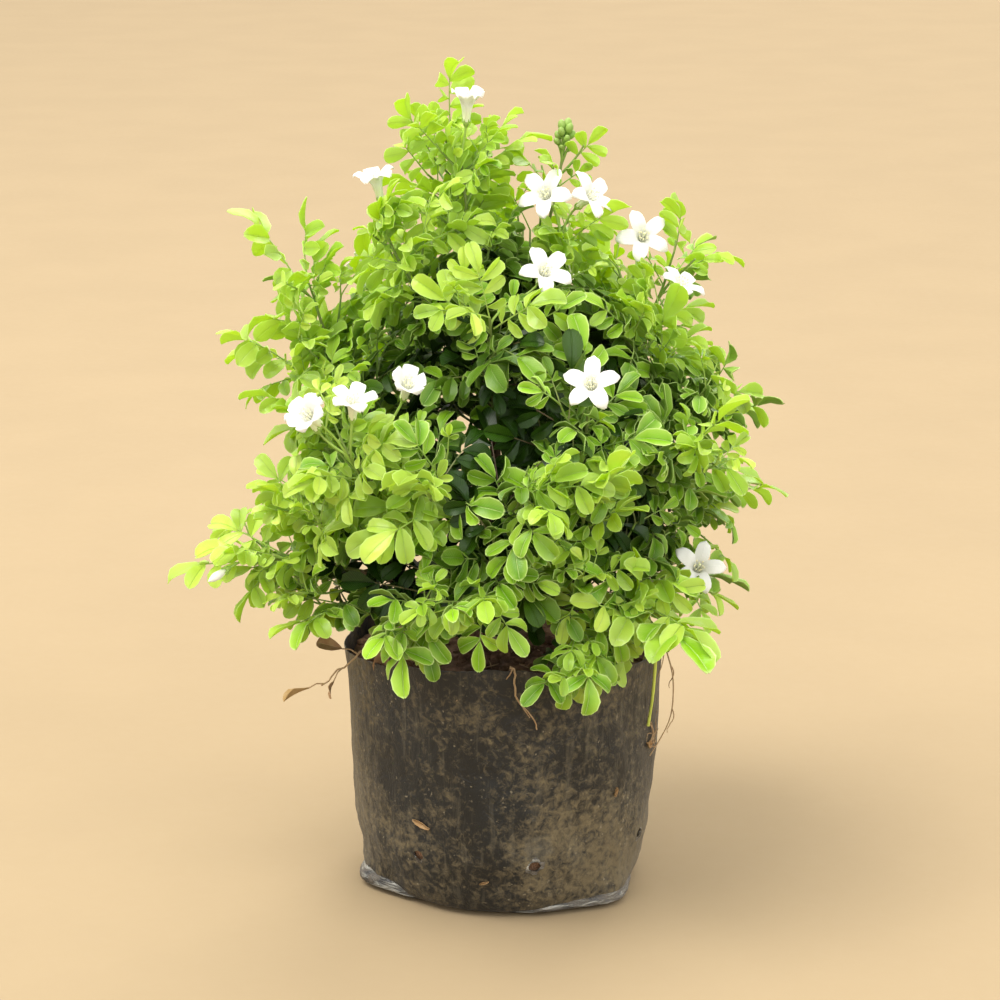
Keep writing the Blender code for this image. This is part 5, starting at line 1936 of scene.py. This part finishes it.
class JASMINE_OT_bag(JasmineOperator):
    """Make the crumpled film bag with its drain holes and folded corners"""

    bl_idname = "jasmine.bag"
    bl_label = "Film bag"

    def execute(self, context):
        settings = context.scene.jasmine_bag
        bag = bpy.data.objects.new("film_bag", bag_mesh(settings.crease))
        bag.data.materials.append(finish("black_film", film_finish, settings))
        settle(bag, "film", "grow_bag")
        film = bag.modifiers.new("film", "SOLIDIFY")
        film.thickness = settings.thickness
        film.offset = -1.0
        punch(bag, settings.drain)
        bag.data.shade_smooth()
        bag.data.set_sharp_from_angle(angle=math.radians(BAG_SHARP_ANGLE))
        worn = finish("greyed_film", flap_finish)
        for name, first, last, reach, lift, seed in (
            ("corner_fold_left", -96.0, -42.0, 0.0030, 0.0075, 2.0),
            ("corner_fold_right", 2.0, 82.0, 0.0026, 0.0050, 5.0),
        ):
            flap = corner_flap(name, first, last, reach, lift, seed)
            flap.data.materials.append(worn)
            settle(flap, "film")
        settle(drain_lips(settings.drain).piece("drain_lips", worn), "film")
        settle(stuck_litter().piece("stuck_litter", finish("dry_plant", dry_finish)), "film")
        return {"FINISHED"}


class JASMINE_OT_soil(JasmineOperator):
    """Make the crumbly earth with the litter that lies on it"""

    bl_idname = "jasmine.soil"
    bl_label = "Earth"

    def execute(self, context):
        earth = finish("earth", soil_finish, context.scene.jasmine_soil)
        ball = bpy.data.objects.new("earth", soil_mesh())
        ball.data.materials.append(earth)
        settle(ball, "soil", "soil")
        dry = finish("dry_plant", dry_finish)
        settle(scatter_litter().piece("earth_litter", earth, dry), "soil")
        return {"FINISHED"}


class JASMINE_OT_wood(JasmineOperator):
    """Make the trunk, limbs and spurs"""

    bl_idname = "jasmine.wood"
    bl_label = "Woody frame"

    def execute(self, context):
        wood = wood_growth().piece("trunk_and_limbs", finish("thin_bark", bark_finish))
        settle(wood, "bark", "woody_frame")
        return {"FINISHED"}


class JASMINE_OT_shoots(JasmineOperator):
    """Grow every leafy shoot, one piece for each"""

    bl_idname = "jasmine.shoots"
    bl_label = "Leafy shoots"

    def execute(self, context):
        settings = context.scene.jasmine_leaves
        templates = [leaflet_template(rows) for rows in (LEAFLET_ROWS, INNER_ROWS)]
        fresh, deep, glow = (0.74, 0.92, 0.03), (0.05, 0.14, 0.004), settings.glow
        finishes = (
            finish("green_stem", stem_finish),
            finish("young_and_lit_leaf", leaf_finish, settings, 0.7, fresh, glow),
            # The shaded copy: darker, duller and less see-through, for aged leaves and for those
            # given painted shade
            finish("old_and_shaded_leaf", leaf_finish, settings, 0.3, deep, glow * 0.33),
        )
        for name, shoot in SHOOTS.items():
            growth = shoot_growth(name, shoot, templates, settings)
            settle(growth.piece(f"{name}_foliage", *finishes), "leaf", name)
        return {"FINISHED"}


class JASMINE_OT_dry(JasmineOperator):
    """Make the dead twig, the hanging roots and the bare stalk"""

    bl_idname = "jasmine.dry"
    bl_label = "Dead twig and roots"

    def execute(self, context):
        dry = finish("dry_plant", dry_finish)
        green, olive = (0.50, 0.55, 0.09), (0.36, 0.42, 0.06)
        scales = (150.0, 1200.0, 0.3)
        pale = finish("pale_stalk", plain_finish, green, olive, (0.45, 0.65), scales, 0.35)
        twig = dry_growth(leaflet_template(LEAFLET_ROWS), context.scene.jasmine_leaves)
        settle(twig.piece("dead_twig", dry, dry, dry), "dry", "dry_twig")
        for name, strand in STRANDS.items():
            look, slot = (dry, "dry") if strand.forks else (pale, "stalk")
            settle(strand_growth(name, strand).piece(f"{name}_strand", look), slot, name)
        return {"FINISHED"}


class JASMINE_OT_flowers(JasmineOperator):
    """Make the white flowers and the closed bud"""

    bl_idname = "jasmine.flowers"
    bl_label = "Flowers"

    def execute(self, context):
        settings = context.scene.jasmine_flowers
        template = blade_template(PETAL_ROWS, (1.0, 0.5, 0.0, -0.5, -1.0))
        petal = finish("waxy_petal", petal_finish, settings)
        inside = [
            finish(name, plain_finish, first, second, rough)
            for name, first, second, rough in (
                ("filament", (0.94, 0.95, 0.84), (0.90, 0.92, 0.76), (0.42, 0.58)),
                ("anther", (0.95, 0.92, 0.62), (0.90, 0.84, 0.48), (0.62, 0.78)),
                ("stigma", (0.86, 0.90, 0.58), (0.80, 0.86, 0.48), (0.42, 0.58)),
            )
        ]
        for i, (name, flower) in enumerate(FLOWERS.items()):
            growth = bloom_growth(flower, SEED + i, template, settings)
            settle(growth.piece(f"{name}_flower", petal, *inside), "petal", name)
        settle(bud_growth(WHITE_BUD).piece("white_bud_petals", petal), "petal", "white_bud")
        return {"FINISHED"}


class JASMINE_OT_stage(JasmineOperator):
    """Lay the floor, hang the lights and set the camera"""

    bl_idname = "jasmine.stage"
    bl_label = "Stage"

    def execute(self, context):
        scene = context.scene
        settings = scene.jasmine_stage
        form = bmesh.new()
        bmesh.ops.create_grid(form, x_segments=1, y_segments=1, size=FLOOR_SIZE)
        floor = bpy.data.objects.new("floor", form_mesh(form, "floor"))
        floor.data.materials.append(finish("pale_floor", floor_finish, settings))
        floor.location.z = -FLOOR_DROP
        scene.collection.objects.link(floor)
        for name, place, aim, size, power, colour in LIGHTS:
            lamp = bpy.data.lights.new(name, "AREA")
            lamp.size = size
            lamp.energy = settings.key_power * power
            lamp.color = colour
            light = bpy.data.objects.new(name, lamp)
            light.location = place
            way = Vector(aim) - Vector(place)
            light.rotation_euler = way.to_track_quat("-Z", "Y").to_euler()
            scene.collection.objects.link(light)
        scene.world = bpy.data.worlds.new("studio")
        scene.world.use_nodes = True
        sky = scene.world.node_tree.nodes["Background"].inputs
        sky["Color"].default_value = SKY_COLOUR
        sky["Strength"].default_value = settings.sky
        lens = bpy.data.cameras.new("camera")
        lens.lens = settings.lens
        lens.sensor_width = CAMERA_SENSOR
        lens.clip_start, lens.clip_end = CAMERA_CLIP
        scene.camera = bpy.data.objects.new("camera", lens)
        scene.camera.location = CAMERA_PLACE
        scene.camera.rotation_euler.x = math.radians(CAMERA_TILT)
        scene.collection.objects.link(scene.camera)
        scene.view_settings.view_transform = "Standard"
        return {"FINISHED"}


OPERATORS = (
    JASMINE_OT_stage,
    JASMINE_OT_bag,
    JASMINE_OT_soil,
    JASMINE_OT_wood,
    JASMINE_OT_shoots,
    JASMINE_OT_dry,
    JASMINE_OT_flowers,
)
SETTINGS = {
    "jasmine_bag": BagSettings,
    "jasmine_soil": SoilSettings,
    "jasmine_leaves": LeafSettings,
    "jasmine_flowers": FlowerSettings,
    "jasmine_stage": StageSettings,
}


class JASMINE_PT_panel(bpy.types.Panel):
    """Settings and steps of the plant"""

    bl_idname = "JASMINE_PT_panel"
    bl_label = "Potted orange jasmine"
    bl_space_type = "VIEW_3D"
    bl_region_type = "UI"
    bl_category = "Jasmine"

    def draw(self, context):
        for name, group in SETTINGS.items():
            box = self.layout.box()
            box.label(text=group.__doc__)
            for key in group.__annotations__:
                box.prop(getattr(context.scene, name), key)
        for operator in OPERATORS:
            self.layout.operator(operator.bl_idname)


CLASSES = (*SETTINGS.values(), *OPERATORS, JASMINE_PT_panel)


def register():
    for each in CLASSES:
        bpy.utils.register_class(each)
    for name, group in SETTINGS.items():
        setattr(bpy.types.Scene, name, PointerProperty(type=group))


def unregister():
    for name in SETTINGS:
        delattr(bpy.types.Scene, name)
    for each in reversed(CLASSES):
        bpy.utils.unregister_class(each)


def main():
    register()
    for operator in OPERATORS:
        getattr(bpy.ops.jasmine, operator.bl_idname.split(".")[1])()


if __name__ == "__main__":
    main()
